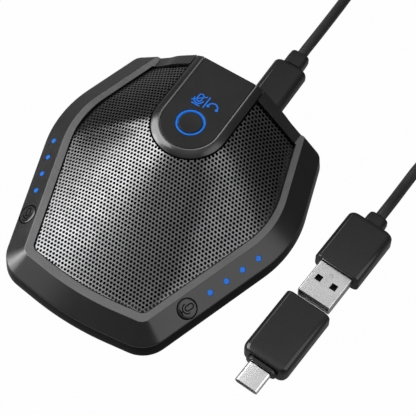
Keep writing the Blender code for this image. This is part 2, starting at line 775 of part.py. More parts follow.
def build_bezel():
    """U-shaped bezel: sloping trim, narrow land, ledge for the panel and two screw pegs."""
    seat_z = BEZEL_TOP - PANEL_SEAT
    ledge_in = BEZEL_IN - PANEL_LEDGE
    ledge_low = seat_z - PANEL_LEDGE + 2 * BEZEL_CHAMFER
    skirt_z = BEZEL_TOP - BEZEL_SKIRT
    skirt_in = BEZEL_OUT - SKIRT_WALL
    section = (
        (BEZEL_IN, seat_z), (BEZEL_IN, BEZEL_TOP - BEZEL_CHAMFER), (BEZEL_LAND, BEZEL_TOP),
        (BEZEL_OUT, BEZEL_TOP - BEZEL_DROP), (BEZEL_OUT, skirt_z), (skirt_in, skirt_z),
        (skirt_in, ledge_low), (ledge_in, ledge_low), (ledge_in, seat_z),
    )
    outlines = [tongue_outline(half, z, BACK_Y) for half, z in section]
    bezel = loft("control_bezel", [list(station) for station in zip(*outlines)], BEZEL)
    peg_low = control_top() + GAP
    for side, label in ((-1, "left"), (1, "right")):
        place = at(side * PEG_X, BACK_Y - PEG_RUN)
        join(bezel, cylinder(f"peg_{label}", PEG_RADIUS, peg_low, ledge_low + GAP, place, sides=16))
        bore = SHAFT_RADIUS + GAP
        cut(bezel, cylinder(f"peg_bore_{label}", bore, 0, ledge_low - GAP, place, sides=16))
        head_top = control_top() - CONTROL_THICK - GAP
        tip = ledge_low - 2 * GAP
        turned(f"control_screw_{label}", (
            (0, tip), (SHAFT_RADIUS, tip), (SHAFT_RADIUS, head_top), (HEAD_RADIUS, head_top),
            (HEAD_RADIUS, head_top - HEAD_THICK), (0, head_top - HEAD_THICK),
        ), place, STEEL, 16)


def panel_levels():
    top = BEZEL_TOP - PANEL_RECESS
    return top, top - PANEL_THICK


def control_top():
    """Upper face of the control board, worked down from the key's stem."""
    stem_low = panel_levels()[0] - KEY_THICK - STEM_LENGTH
    return stem_low - MUTE_TRAVEL - PRESS_SPARE - ACTUATOR - SWITCH_THICK - GAP


def build_controls():
    """Panel, light ring, mute key, its switch, the icon lens and the control board."""
    top, low = panel_levels()
    place = at(0, TONGUE_Y)
    panel = loft("control_panel", (
        tongue_outline(BEZEL_IN - GAP, low, BACK_Y), tongue_outline(BEZEL_IN - GAP, top, BACK_Y),
    ), PANEL)
    cut(panel, cylinder("ring_hole", RING_RADIUS + GAP, low - OVERRUN, top + OVERRUN, place, sides=32))
    inner = RING_RADIUS - RING_LINE
    flange_top = low - GAP
    flange_low = flange_top - RING_FLANGE
    turned("light_ring", (
        (inner, top), (RING_RADIUS, top), (RING_RADIUS, flange_top),
        (RING_RADIUS + RING_FLANGE, flange_top), (RING_RADIUS + RING_FLANGE, flange_low),
        (inner, flange_low),
    ), place, LIGHT)
    key_low = top - KEY_THICK
    stem_low = key_low - STEM_LENGTH
    turned("mute_key", (
        (0, top), (inner - GAP, top), (inner - GAP, key_low), (KEY_STEM, key_low),
        (KEY_STEM, stem_low), (0, stem_low),
    ), place, PANEL)

    board_top = control_top()
    body_low = board_top + GAP
    switch = box(
        "mute_switch", (-SWITCH_HALF, -SWITCH_HALF, body_low),
        (SWITCH_HALF, SWITCH_HALF, body_low + SWITCH_THICK), place, SWITCH,
    )
    nub_top = body_low + SWITCH_THICK + ACTUATOR
    join(switch, cylinder("mute_nub", KEY_STEM, body_low + GAP, nub_top, place, sides=16))
    eased = CONTROL_THICK / 4
    board = bar("control_board", at(0, BACK_Y - CONTROL_BACK, board_top - CONTROL_THICK / 2), (
        (-CONTROL_RUN, 2 * CONTROL_HALF, CONTROL_THICK, eased),
        (0, 2 * CONTROL_HALF, CONTROL_THICK, eased),
    ), CIRCUIT, 1)
    for side, label in ((-1, "left"), (1, "right")):
        spot = at(side * PEG_X, BACK_Y - PEG_RUN)
        bore = SHAFT_RADIUS + GAP
        cut(board, cylinder(f"control_bore_{label}", bore, 0, BEZEL_TOP, spot, sides=16))
    lens_top = low - GAP
    box(
        "icon_lens", (-LENS_HALF, 0, lens_top - LENS_THICK), (LENS_HALF, LENS_RUN, lens_top),
        at(0, TONGUE_Y + RING_RADIUS + RING_FLANGE + GAP), LENS,
    )


def build_inside():
    """Main board, weight, capsules in their grommets and the ribbon up to the control board."""
    floor_z = BASE_Z + FLOOR
    board_low = floor_z + BOARD_LIFT
    board_top = board_low + BOARD_THICK
    back_y = BACK_Y - BACK_WALL - GAP
    board = bar("main_board", at(0, 0) @ Matrix.Rotation(math.pi / 2, 4, "X"), (
        (board_low, 2 * BOARD_HALF, BOARD_RUN, BOARD_CORNER),
        (board_top, 2 * BOARD_HALF, BOARD_RUN, BOARD_CORNER),
    ), CIRCUIT)
    for vertex in board.data.vertices:
        vertex.co.y += back_y - BOARD_RUN / 2
    for side, label in ((-1, "left"), (1, "right")):
        spot = at(side * BOARD_SCREW_X, BACK_Y - BOARD_SCREW_RUN)
        bore = SHAFT_RADIUS + GAP
        cut(board, cylinder(f"main_bore_{label}", bore, 0, BAND_Z, spot, sides=16))
    weight_y = back_y - BOARD_RUN - GAP - WEIGHT_RUN
    box(
        "weight_plate", (-WEIGHT_HALF, 0, floor_z + GAP),
        (WEIGHT_HALF, WEIGHT_RUN, floor_z + GAP + WEIGHT_THICK), at(0, weight_y), WEIGHT,
    )
    spots = (
        ("front", 0, CAPSULE_FRONT_RUN), ("left", -CAPSULE_SIDE, CAPSULE_REAR_RUN),
        ("right", CAPSULE_SIDE, CAPSULE_REAR_RUN),
    )
    boot_low = board_top + GAP
    bore = CAPSULE_RADIUS + GAP
    can_low = boot_low + BOOT_WALL + GAP
    for label, x, run in spots:
        place = at(x, BACK_Y - run)
        turned(f"mic_boot_{label}", (
            (0, boot_low + BOOT_WALL), (bore, boot_low + BOOT_WALL), (bore, can_low + CAPSULE_HEIGHT),
            (bore + BOOT_WALL, can_low + CAPSULE_HEIGHT), (bore + BOOT_WALL, boot_low), (0, boot_low),
        ), place, RUBBER, 24)
        turned(f"mic_capsule_{label}", (
            (0, can_low + CAPSULE_HEIGHT), (CAPSULE_RADIUS, can_low + CAPSULE_HEIGHT),
            (CAPSULE_RADIUS, can_low), (0, can_low),
        ), place, CAPSULE, 24)
    build_ribbon(board_top + GAP, control_top() - CONTROL_THICK - GAP)


def build_ribbon(low, high):
    """Flat ribbon that bows forward between the two boards."""
    mesh = bpy.data.meshes.new("ribbon_cable")
    points = []
    start_y = BACK_Y - RIBBON_FOOT_RUN
    for row in range(RIBBON_ROWS):
        share = row / (RIBBON_ROWS - 1)
        y = start_y - RIBBON_BULGE * math.sin(math.pi * share)
        z = low + (high - low) * share
        points += [(-RIBBON_HALF, y, z), (RIBBON_HALF, y, z)]
    faces = [(2 * row, 2 * row + 1, 2 * row + 3, 2 * row + 2) for row in range(RIBBON_ROWS - 1)]
    mesh.from_pydata(points, [], faces)
    ribbon = add_object("ribbon_cable", mesh, RIBBON)
    shell = ribbon.modifiers.new("thickness", "SOLIDIFY")
    shell.thickness = RIBBON_THICK
    shell.offset = 0


def build_port():
    """Socket behind the back wall and the plug that sits in it."""
    frame = at(PORT_X, BACK_Y, PORT_Z)
    round_out = SOCKET_HEIGHT / 2
    socket = bar("usb_socket", frame, (
        (-SOCKET_LENGTH, SOCKET_WIDTH, SOCKET_HEIGHT, round_out),
        (0, SOCKET_WIDTH, SOCKET_HEIGHT, round_out),
    ), STEEL)
    bore_width, bore_height = SOCKET_WIDTH - 2 * SOCKET_WALL, SOCKET_HEIGHT - 2 * SOCKET_WALL
    cut(socket, bar("socket_bore", frame, (
        (-SOCKET_DEPTH, bore_width, bore_height, bore_height / 2),
        (OVERRUN, bore_width, bore_height, bore_height / 2),
    )))
    tongue_width, tongue_thick = SOCKET_TONGUE
    join(socket, bar("socket_tongue", frame, (
        (-SOCKET_DEPTH - GAP, tongue_width, tongue_thick, tongue_thick / 4),
        (-SOCKET_DEPTH + SOCKET_TONGUE_LENGTH, tongue_width, tongue_thick, tongue_thick / 4),
    ), steps=1))
    shell_end = C_PLUG_GAP - GAP
    sleeve(
        "usb_c_shell", frame, shell_end - C_SHELL_LENGTH, shell_end, C_SHELL_WIDTH, C_SHELL_HEIGHT,
        C_SHELL_HEIGHT / 2, SHELL_WALL, STEEL,
    )
    end = C_PLUG_GAP + C_PLUG_LENGTH
    moulding(
        "usb_c_overmold", frame, C_PLUG_GAP, end, C_PLUG_WIDTH, C_PLUG_HEIGHT, C_PLUG_RADIUS, MOULDING
    )
    boot("usb_c_boot", frame, end + GAP, C_BOOT_LENGTH - GAP)
    return frame @ Vector((0, end + C_BOOT_LENGTH + GAP, 0))


def boot(name, frame, start, length):
    """Tapered strain relief between a moulding and the cable."""
    width, height = BOOT_WIDTH * boot_taper_share, BOOT_HEIGHT * boot_taper_share
    bar(name, frame, (
        (start, BOOT_WIDTH, BOOT_HEIGHT, BOOT_RADIUS),
        (start + length / 2, BOOT_WIDTH, BOOT_HEIGHT, BOOT_RADIUS),
        (start + length, width, height, BOOT_RADIUS),
    ), MOULDING)


def plug_frame():
    turn = Matrix.Rotation(A_PLUG_YAW, 4, "Z")
    return at(A_PLUG_X, BACK_Y - A_PLUG_RUN, A_PLUG_Z) @ turn


def build_plug():
    """Larger plug: moulding, boot, metal shell with two square holes and its insert."""
    frame = plug_frame()
    moulding(
        "usb_a_overmold", frame, 0, A_PLUG_LENGTH, A_PLUG_WIDTH, A_PLUG_HEIGHT, A_PLUG_RADIUS, MOULDING
    )
    boot("usb_a_boot", frame, A_PLUG_LENGTH + GAP, A_BOOT_LENGTH - GAP)
    front = -GAP - A_SHELL_LENGTH
    shell = sleeve(
        "usb_a_shell", frame, front, -GAP, A_SHELL_WIDTH, A_SHELL_HEIGHT, A_SHELL_RADIUS, SHELL_WALL,
        STEEL, 2,
    )
    half = LATCH_HOLE / 2
    for side, label in ((-1, "left"), (1, "right")):
        x, y = side * LATCH_X, front + LATCH_RUN
        low, high = (x - half, y - half, -A_SHELL_HEIGHT), (x + half, y + half, A_SHELL_HEIGHT)
        cut(shell, box(f"latch_hole_{label}", low, high, frame))
    room = A_SHELL_HEIGHT / 2 - SHELL_WALL
    half = A_SHELL_WIDTH / 2 - SHELL_WALL - GAP
    low = -room + GAP
    box(
        "usb_a_insert", (-half, front + A_INSERT_RECESS, low), (half, -GAP, low + A_INSERT_THICK),
        frame, INSERT,
    )
    return frame @ Vector((0, A_PLUG_LENGTH + A_BOOT_LENGTH + GAP, 0))


def build_adapter():
    """Adapter lying in front of the larger plug, in line with it."""
    mouth = -ADAPTER_APART
    frame = plug_frame() @ at(0, mouth)
    back = -ADAPTER_LENGTH
    taper = back + ADAPTER_TAPER
    slim, low = ADAPTER_WIDTH - 2 * PLUG_EDGE, A_PLUG_HEIGHT - 2 * PLUG_EDGE
    eased = A_PLUG_RADIUS - PLUG_EDGE / 2
    body = bar("adapter_overmold", frame, (
        (back, ADAPTER_WIDTH * adapter_front_share, low, eased),
        (taper, ADAPTER_WIDTH, A_PLUG_HEIGHT, A_PLUG_RADIUS),
        (-PLUG_EDGE, ADAPTER_WIDTH, A_PLUG_HEIGHT, A_PLUG_RADIUS),
        (0, slim, low, eased),
    ), MOULDING)
    bore_width, bore_height = A_SHELL_WIDTH + 2 * GAP, A_SHELL_HEIGHT + 2 * GAP
    case_width, case_height = bore_width + 2 * RECEPTACLE_WALL, bore_height + 2 * RECEPTACLE_WALL
    corner = A_SHELL_RADIUS + GAP
    pocket_width, pocket_height = case_width + 2 * GAP, case_height + 2 * GAP
    cut(body, bar("adapter_pocket", frame, (
        (-POCKET_DEPTH, pocket_width, pocket_height, corner),
        (OVERRUN, pocket_width, pocket_height, corner),
    ), steps=2))
    sleeve(
        "adapter_socket_shell", frame, -RECEPTACLE_LENGTH, -GAP, case_width, case_height,
        corner + RECEPTACLE_WALL, RECEPTACLE_WALL, STEEL, 2,
    )
    room = A_SHELL_HEIGHT / 2 - SHELL_WALL
    half = A_SHELL_WIDTH / 2 - SHELL_WALL - GAP
    box(
        "adapter_socket_tongue", (-half, -POCKET_DEPTH + GAP, room - GAP - ADAPTER_TONGUE),
        (half, -ADAPTER_TONGUE_RECESS, room - GAP), frame, INSERT,
    )
    collar_end = back - GAP - COLLAR_LENGTH
    bar("adapter_collar", frame, (
        (collar_end, COLLAR_WIDTH, COLLAR_HEIGHT, COLLAR_HEIGHT / 2),
        (back - GAP, COLLAR_WIDTH, COLLAR_HEIGHT, COLLAR_HEIGHT / 2),
    ), MOULDING)
    sleeve(
        "adapter_c_shell", frame, collar_end - GAP - ADAPTER_SHELL_LENGTH, collar_end - GAP,
        C_SHELL_WIDTH, ADAPTER_SHELL_HEIGHT, ADAPTER_SHELL_HEIGHT / 2, SHELL_WALL, STEEL,
    )


def smooth_points(route, spacing):
    """Points on a smooth curve through the route, about one spacing apart."""
    padded = [2 * route[0] - route[1], *route, 2 * route[-1] - route[-2]]
    points = [route[0]]
    for before, start, end, after in zip(padded, padded[1:], padded[2:], padded[3:]):
        count = max(1, round((end - start).length / spacing))
        for step in range(1, count + 1):
            t = step / count
            points.append(0.5 * (
                2 * start + (end - before) * t + (2 * before - 5 * start + 4 * end - after) * t * t
                + (3 * start - before - 3 * end + after) * t ** 3
            ))
    return points


def tube(name, points, resolution):
    curve = bpy.data.curves.new(name, "CURVE")
    curve.dimensions = "3D"
    curve.bevel_depth = CORD_RADIUS
    curve.bevel_resolution = resolution
    curve.use_fill_caps = True
    line = curve.splines.new("POLY")
    line.points.add(len(points) - 1)
    for spot, point in zip(line.points, points):
        spot.co = (*point, 1)
    curve.materials.append(JACKET)
    PARTS.objects.link(bpy.data.objects.new(name, curve))


def coil_points():
    """Coil that spirals in and out again, climbing a layer in the half turn where it reverses."""
    end_angle = 0.0
    turns = COIL_FULL_TURNS + (COIL_START - end_angle) / math.tau
    layer_turns = turns / COIL_LAYERS
    count = round(turns * LOOP_POINTS)
    points = []
    for step in range(count + 1):
        turned_by = turns * step / count
        layer = min(int(turned_by / layer_turns), COIL_LAYERS - 1)
        into = turned_by - layer * layer_turns
        inward = into if layer % 2 == 0 else layer_turns - into
        radius = COIL_OUTER - COIL_PITCH * inward
        climb = 0.0
        for change in range(1, COIL_LAYERS):
            reversed_by = (turned_by - change * layer_turns) / COIL_CLIMB_TURNS
            climb += min(max(reversed_by + 1 / 2, 0), 1)
        angle = COIL_START - turned_by * math.tau
        points.append(Vector((
            COIL_X + radius * math.cos(angle), COIL_Y + radius * math.sin(angle),
            CORD_REST + LAYER_PITCH * climb,
        )))
    return points


def least_gap(points):
    """Least clear distance between turns, over points half a loop or more apart."""
    least = math.inf
    for index, point in enumerate(points):
        for other in points[index + LOOP_POINTS // 2:]:
            least = min(least, (point - other).length)
    return least - 2 * CORD_RADIUS


def build_cable(device_exit, plug_exit):
    """Two free runs and the coil between them."""
    coil = coil_points()
    straight = 2 * CORD_RADIUS
    into = Vector((math.sin(COIL_START), -math.cos(COIL_START), 0))
    out_of = Vector((0, -1, 0))
    start = coil[0] - into * straight
    end = coil[-1] + out_of * straight
    tube("cord_coil", [start, *coil, end], 1)
    print(f"cord_coil least gap {least_gap(coil) * 1000:.2f} mm")

    spacing = 4 * CORD_RADIUS
    back = Vector((0, 1, 0))
    route = [device_exit, device_exit + back * straight, *(Vector(point) for point in DEVICE_ROUTE)]
    route += [start - into * (straight + GAP), start - into * GAP]
    tube("cord_device_run", smooth_points(route, spacing), 2)
    plug_back = plug_frame().to_3x3() @ back
    route = [end + out_of * GAP, end + out_of * (straight + GAP)]
    route += [Vector(point) for point in PLUG_ROUTE]
    route += [plug_exit + plug_back * straight, plug_exit]
    tube("cord_plug_run", smooth_points(route, spacing), 2)


build_base()
build_rim()
for side_sign, side_label in ((-1, "left"), (1, "right")):
    build_side(side_sign, side_label)
build_hood()
build_bezel()
build_controls()
build_inside()
DEVICE_EXIT = build_port()
PLUG_EXIT = build_plug()
build_adapter()
build_cable(DEVICE_EXIT, PLUG_EXIT)
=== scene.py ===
import math

import bmesh
import bpy
import numpy as np
from mathutils import Matrix, Vector


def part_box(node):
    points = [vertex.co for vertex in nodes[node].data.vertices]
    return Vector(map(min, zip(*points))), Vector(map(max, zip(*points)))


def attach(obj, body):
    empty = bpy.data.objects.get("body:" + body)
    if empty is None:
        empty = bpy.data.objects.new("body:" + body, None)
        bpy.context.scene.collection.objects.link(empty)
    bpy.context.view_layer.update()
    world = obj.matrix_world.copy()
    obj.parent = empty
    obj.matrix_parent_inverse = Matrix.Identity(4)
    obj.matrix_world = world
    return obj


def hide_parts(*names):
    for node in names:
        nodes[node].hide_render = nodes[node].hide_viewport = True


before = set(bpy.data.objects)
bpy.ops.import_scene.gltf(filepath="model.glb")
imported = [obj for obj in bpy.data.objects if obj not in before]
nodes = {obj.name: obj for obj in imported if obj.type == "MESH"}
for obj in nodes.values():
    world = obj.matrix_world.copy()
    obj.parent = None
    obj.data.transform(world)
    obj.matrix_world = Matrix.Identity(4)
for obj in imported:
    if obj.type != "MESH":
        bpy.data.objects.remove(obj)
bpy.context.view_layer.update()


# Studio: a white table, a tall softbox close on the left, a strip on the right, two low cards at
# the front left and a small strip at the back left, in a dim room with a pale ceiling.
camera_spot = Vector((0.15292, -0.20098, 0.45589))
camera_turn = math.radians(33.1452)
camera_height = math.radians(60.7879)
camera_lens = 139.23
room_levels = ((0.0, 0.40), (0.06, 0.16), (0.45, 0.17), (0.70, 0.26), (0.87, 0.48), (1.0, 0.95))
table_reach, table_grey, seen_white, mirrored_white = 12, 0.18, 0.985, 0.12

away = Vector((math.sin(camera_turn) * math.cos(camera_height),
               -math.cos(camera_turn) * math.cos(camera_height), math.sin(camera_height)))
sideways = Vector((math.cos(camera_turn), math.sin(camera_turn), 0))


def placed(name, data):
    """New object in the scene."""
    item = bpy.data.objects.new(name, data)
    bpy.context.scene.collection.objects.link(item)
    return item


camera = placed("camera", bpy.data.cameras.new("camera"))
camera.data.lens = camera_lens
camera.data.clip_start = 0.01
camera.matrix_world = Matrix((sideways, away.cross(sideways), away)).transposed().to_4x4()
camera.matrix_world.translation = camera_spot
bpy.context.scene.camera = camera
bpy.context.scene.view_settings.view_transform = "Standard"


def soft_lamp(name, direction, distance, width, height, power):
    """Rectangular softbox that faces the middle of the table."""
    lamp = bpy.data.lights.new(name, "AREA")
    lamp.shape = "RECTANGLE"
    lamp.size, lamp.size_y, lamp.energy = width, height, power
    box = placed(name, lamp)
    toward = Vector(direction).normalized()
    box.location = toward * distance
    box.rotation_euler = toward.to_track_quat("Z", "Y").to_euler()


soft_lamp("key_softbox", (-0.744, -0.125, 0.656), 1.2, 0.90, 1.20, 20.4)
soft_lamp("right_strip", (0.83, 0.10, 0.56), 1.4, 0.80, 1.30, 5.0)
soft_lamp("front_card", (-0.780, -0.435, 0.450), 1.2, 0.50, 0.40, 2.6)
soft_lamp("front_fill", (-0.540, -0.610, 0.560), 1.2, 0.50, 0.45, 0.75)
soft_lamp("edge_strip", (-0.645, 0.452, 0.616), 1.4, 0.30, 0.25, 0.7)


def feed(tree, value, socket):
    """Link a socket, or set a plain value."""
    if isinstance(value, bpy.types.NodeSocket):
        tree.links.new(value, socket)
    else:
        socket.default_value = value


def join_nodes(tree, *pairs):
    """Links from output sockets to input sockets."""
    for start, end in pairs:
        tree.links.new(start, end)


def add_math(tree, operation, *values):
    """Math node over sockets or numbers."""
    made_node = tree.nodes.new("ShaderNodeMath")
    made_node.operation = operation
    for value, socket in zip(values, made_node.inputs):
        feed(tree, value, socket)
    return made_node.outputs[0]


def blank_material(name):
    """New material with its node tree and its Principled shader."""
    material = bpy.data.materials.new(name)
    material.use_nodes = True
    return material, material.node_tree, material.node_tree.nodes["Principled BSDF"]


room = bpy.data.worlds.new("room")
bpy.context.scene.world = room
room.use_nodes = True
split = room.node_tree.nodes.new("ShaderNodeSeparateXYZ")
height_ramp = room.node_tree.nodes.new("ShaderNodeValToRGB")
while len(height_ramp.color_ramp.elements) < len(room_levels):
    height_ramp.color_ramp.elements.new(0.5)
for stop, (height, level) in zip(height_ramp.color_ramp.elements, room_levels):
    stop.position, stop.color = height, (level, level, level, 1)
join_nodes(
    room.node_tree,
    (room.node_tree.nodes.new("ShaderNodeTexCoord").outputs["Generated"], split.inputs[0]),
    (split.outputs["Z"], height_ramp.inputs["Fac"]),
    (height_ramp.outputs["Color"], room.node_tree.nodes["Background"].inputs["Color"]),
)

table_mesh = bpy.data.meshes.new("table")
table_corners = [(x * table_reach, y * table_reach, 0) for x, y in ((-1, -1), (1, -1), (1, 1), (-1, 1))]
table_mesh.from_pydata(table_corners, [], [(0, 1, 2, 3)])
table = placed("table", table_mesh)
table_white, table_tree, table_shader = blank_material("table_white")
table_tree.nodes.remove(table_shader)
matt = table_tree.nodes.new("ShaderNodeBsdfDiffuse")
matt.inputs["Color"].default_value = (table_grey, table_grey, table_grey, 1)
glow = table_tree.nodes.new("ShaderNodeEmission")
glow.inputs["Color"].default_value = (1, 1, 1, 1)
ray = table_tree.nodes.new("ShaderNodeLightPath").outputs
mirrored = add_math(table_tree, "ADD", ray["Is Glossy Ray"], ray["Is Transmission Ray"])
share = add_math(table_tree, "MULTIPLY_ADD", ray["Is Camera Ray"], seen_white,
                 add_math(table_tree, "MULTIPLY", mirrored, mirrored_white))
blend = table_tree.nodes.new("ShaderNodeMixShader")
table_out = table_tree.nodes["Material Output"]
join_nodes(table_tree, (share, blend.inputs[0]), (matt.outputs[0], blend.inputs[1]),
           (glow.outputs[0], blend.inputs[2]), (blend.outputs[0], table_out.inputs["Surface"]))
table_mesh.materials.append(table_white)


# Cable: 3.6 mm round lead in black PVC, limp enough to lie flat. It leaves the small plug, sinks
# to the table, is wound into a neat coil past the edge of the view and comes back to the larger plug.
cable_radius = 0.00181
cable_rest = 0.00186
coil_middle = (0.0620, 0.1323)
coil_outer = 0.02536
turn_pitch = 0.00415
layer_pitch = 0.00410
coil_layers = 4
coil_start = math.radians(120)
coil_turns = 10 + 120 / 360
climb_turns = 0.5
loop_points = 48
cable_join = 0.0003
port_x, port_z = 0.0097, 0.00645
plug_x, plug_ahead, plug_z, plug_yaw = 0.0613, 0.0333, 0.00405, math.radians(-3.6)
small_exit, large_exit = 0.0296, 0.0246
from_device = (
    (0.00975, 0.0843, 0.0062), (0.0095, 0.0943, 0.0049), (0.0090, 0.1043, 0.0031),
    (0.0087, 0.1123, 0.0021), (0.0094, 0.1203, 0.00186), (0.0115, 0.1288, 0.00186),
    (0.0170, 0.1363, 0.00186), (0.0255, 0.1411, 0.00186), (0.0355, 0.1465, 0.00186),
)
to_plug = (
    (0.0870, 0.1158, 0.0126), (0.0848, 0.1073, 0.0102), (0.0803, 0.0988, 0.0074),
    (0.0748, 0.0903, 0.0049), (0.0696, 0.0813, 0.0030), (0.0656, 0.0723, 0.0021),
    (0.0638, 0.0637, 0.00186), (0.0633, 0.0550, 0.0021), (0.0632, 0.0473, 0.0031),
)
body_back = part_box("base_shell")[1].y


def at(x, y, z=0.0):
    return Matrix.Translation((x, y, z))


def smooth_run(route, spacing=None, steps=1):
    """Points on a smooth curve through the route, by spacing or in equal steps."""
    padded = [2 * route[0] - route[1], *route, 2 * route[-1] - route[-2]]
    points = [route[0]]
    for before, start, end, after in zip(padded, padded[1:], padded[2:], padded[3:]):
        count = max(1, round((end - start).length / spacing)) if spacing else steps
        for step in range(1, count + 1):
            t = step / count
            points.append(0.5 * (
                2 * start + (end - before) * t + (2 * before - 5 * start + 4 * end - after) * t * t
                + (3 * start - before - 3 * end + after) * t ** 3))
    return points


def wound_coil():
    """Coil that spirals in and out again and climbs a layer where it turns back."""
    layer_turns = coil_turns / coil_layers
    count = round(coil_turns * loop_points)
    points = []
    for step in range(count + 1):
        wound = coil_turns * step / count
        layer = min(int(wound / layer_turns), coil_layers - 1)
        into = wound - layer * layer_turns
        inward = into if layer % 2 == 0 else layer_turns - into
        radius = coil_outer - turn_pitch * inward
        climb = sum(min(max((wound - change * layer_turns + climb_turns / 2) / climb_turns, 0), 1)
                    for change in range(1, coil_layers))
        angle = coil_start - wound * math.tau
        points.append(Vector((coil_middle[0] + radius * math.cos(angle),
                              coil_middle[1] + radius * math.sin(angle),
                              cable_rest + layer_pitch * climb)))
    return points


plug_place = at(plug_x, body_back - plug_ahead, plug_z) @ Matrix.Rotation(plug_yaw, 4, "Z")
port_place = at(port_x, body_back, port_z)
device_exit = port_place @ Vector((0, small_exit, 0))
plug_exit = plug_place @ Vector((0, large_exit, 0))
coil = wound_coil()
straight = 2 * cable_radius
coil_in = Vector((math.sin(coil_start), -math.cos(coil_start), 0))
coil_out = Vector((0, -1, 0))
backward = Vector((0, 1, 0))
device_run = smooth_run([
    device_exit, device_exit + backward * straight, *(Vector(spot) for spot in from_device),
    coil[0] - coil_in * (2 * straight + cable_join), coil[0] - coil_in * straight, coil[0],
], straight)
plug_run = smooth_run([
    coil[-1], coil[-1] + coil_out * straight, coil[-1] + coil_out * (2 * straight + cable_join),
    *(Vector(spot) for spot in to_plug),
    plug_exit + (plug_place.to_3x3() @ backward) * straight, plug_exit,
], straight)
cable_path = device_run[:-1] + coil + plug_run[1:]
cable_curve = bpy.data.curves.new("cable", "CURVE")
cable_curve.dimensions = "3D"
cable_curve.bevel_depth = cable_radius
cable_curve.bevel_resolution = 5
cable_curve.use_fill_caps = True
cable_line = cable_curve.splines.new("POLY")
cable_line.points.add(len(cable_path) - 1)
cable_line.use_smooth = True
for place, point in zip(cable_line.points, cable_path):
    place.co = (*point, 1)
cable = placed("cable", cable_curve)


def surface_group(name, *inputs):
    """Shader group with (kind, name, value) inputs that puts out colour, roughness and height."""
    tree = bpy.data.node_groups.new(name, "ShaderNodeTree")
    for kind, label, value in inputs:
        socket = tree.interface.new_socket(label, in_out="INPUT", socket_type="NodeSocket" + kind)
        socket.default_value = value
    for kind, label in (("Color", "Colour"), ("Float", "Roughness"), ("Float", "Height")):
        tree.interface.new_socket(label, in_out="OUTPUT", socket_type="NodeSocket" + kind)
    return tree, tree.nodes.new("NodeGroupInput").outputs, tree.nodes.new("NodeGroupOutput").inputs


def add_noise(tree, vector, scale, detail, roughness):
    """Level of a noise texture, its scale on a socket or as a number."""
    noise = tree.nodes.new("ShaderNodeTexNoise")
    for label, value in (("Vector", vector), ("Scale", scale), ("Detail", detail), ("Roughness", roughness)):
        feed(tree, value, noise.inputs[label])
    return noise.outputs["Fac"]


def add_range(tree, value, low, high, from_low=0.0, from_high=1.0):
    """Map Range whose results may come from sockets."""
    mapped = tree.nodes.new("ShaderNodeMapRange")
    for label, setting in (("Value", value), ("From Min", from_low), ("From Max", from_high),
                           ("To Min", low), ("To Max", high)):
        feed(tree, setting, mapped.inputs[label])
    return mapped.outputs["Result"]


def add_mix(tree, factor, first, second):
    """Colour mix of sockets or fixed colours."""
    mixed = tree.nodes.new("ShaderNodeMix")
    mixed.data_type = "RGBA"
    for label, setting in (("Factor", factor), ("A", first), ("B", second)):
        feed(tree, setting, next(
            item for item in mixed.inputs
            if item.name == label and (label == "Factor" or item.type == "RGBA") and item.enabled))
    return next(item for item in mixed.outputs if item.type == "RGBA")


def add_speckle(tree, vector, scale, detail, roughness, low, high):
    """Noise stretched to the full range between two of its levels."""
    return add_range(tree, add_noise(tree, vector, scale, detail, roughness), 0.0, 1.0, low, high)


def lead_in(tree, shader, colour, roughness, height, depth):
    """Lead a colour, a roughness and a relief of the given depth to a material's shader."""
    bump = tree.nodes.new("ShaderNodeBump")
    bump.inputs["Distance"].default_value = depth
    join_nodes(tree, (colour, shader.inputs["Base Color"]), (roughness, shader.inputs["Roughness"]),
               (height, bump.inputs["Height"]), (bump.outputs[0], shader.inputs["Normal"]))


# Moulded plastic as it comes off a spark-eroded tool: a fine even grain with faint cloudy
# handling marks. Puts out a colour, a roughness and a height for the material's own nodes.
moulded, moulded_in, moulded_out = surface_group(
    "moulded_grain", ("Color", "Colour", (0.03, 0.03, 0.03, 1)),
    ("Color", "Worn Colour", (0.05, 0.05, 0.05, 1)), ("Float", "Grain Scale", 2500.0),
    ("Float", "Cloud Scale", 60.0), ("Float", "Smooth", 0.3), ("Float", "Rough", 0.45))
moulded_place = moulded.nodes.new("ShaderNodeTexCoord").outputs["Object"]
speck = add_speckle(moulded, moulded_place, moulded_in["Grain Scale"], 2, 0.6, 0.35, 0.65)
worn = add_speckle(moulded, moulded_place, moulded_in["Cloud Scale"], 4, 0.55, 0.35, 0.70)
both = add_math(moulded, "MULTIPLY_ADD", speck, 0.5, add_range(moulded, worn, 0.0, 0.5))
join_nodes(
    moulded,
    (add_mix(moulded, both, moulded_in["Colour"], moulded_in["Worn Colour"]), moulded_out["Colour"]),
    (add_range(moulded, worn, moulded_in["Smooth"], moulded_in["Rough"]), moulded_out["Roughness"]),
    (speck, moulded_out["Height"]),
)


def skin_material(name, group, depth, looks, shader_looks):
    """Material that takes its colour, roughness and relief from a surface group."""
    material, tree, shader = blank_material(name)
    skin = tree.nodes.new("ShaderNodeGroup")
    skin.node_tree = group
    for item, settings in ((skin, looks), (shader, shader_looks)):
        for label, value in settings.items():
            item.inputs[label].default_value = value
    lead_in(tree, shader, *(skin.outputs[label] for label in ("Colour", "Roughness", "Height")), depth)
    return material


def plastic(name, colour, worn_colour, smooth, rough, grain, depth, gloss=0.5):
    """Moulded plastic with its own colours, grain and gloss."""
    return skin_material(name, moulded, depth, {
        "Colour": (*colour, 1), "Worn Colour": (*worn_colour, 1), "Grain Scale": grain,
        "Smooth": smooth, "Rough": rough}, {"Specular IOR Level": gloss})


def grey(level, blue=None):
    """Neutral or slightly blue grey."""
    return level, level, blue or level


jacket_black = plastic("cable_jacket", grey(0.010, 0.011), grey(0.017, 0.018), smooth=0.30, rough=0.42,
                       grain=1800, depth=0.000006)
cable_curve.materials.append(jacket_black)
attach(cable, "microphone")
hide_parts("cord_device_run", "cord_coil", "cord_plug_run")


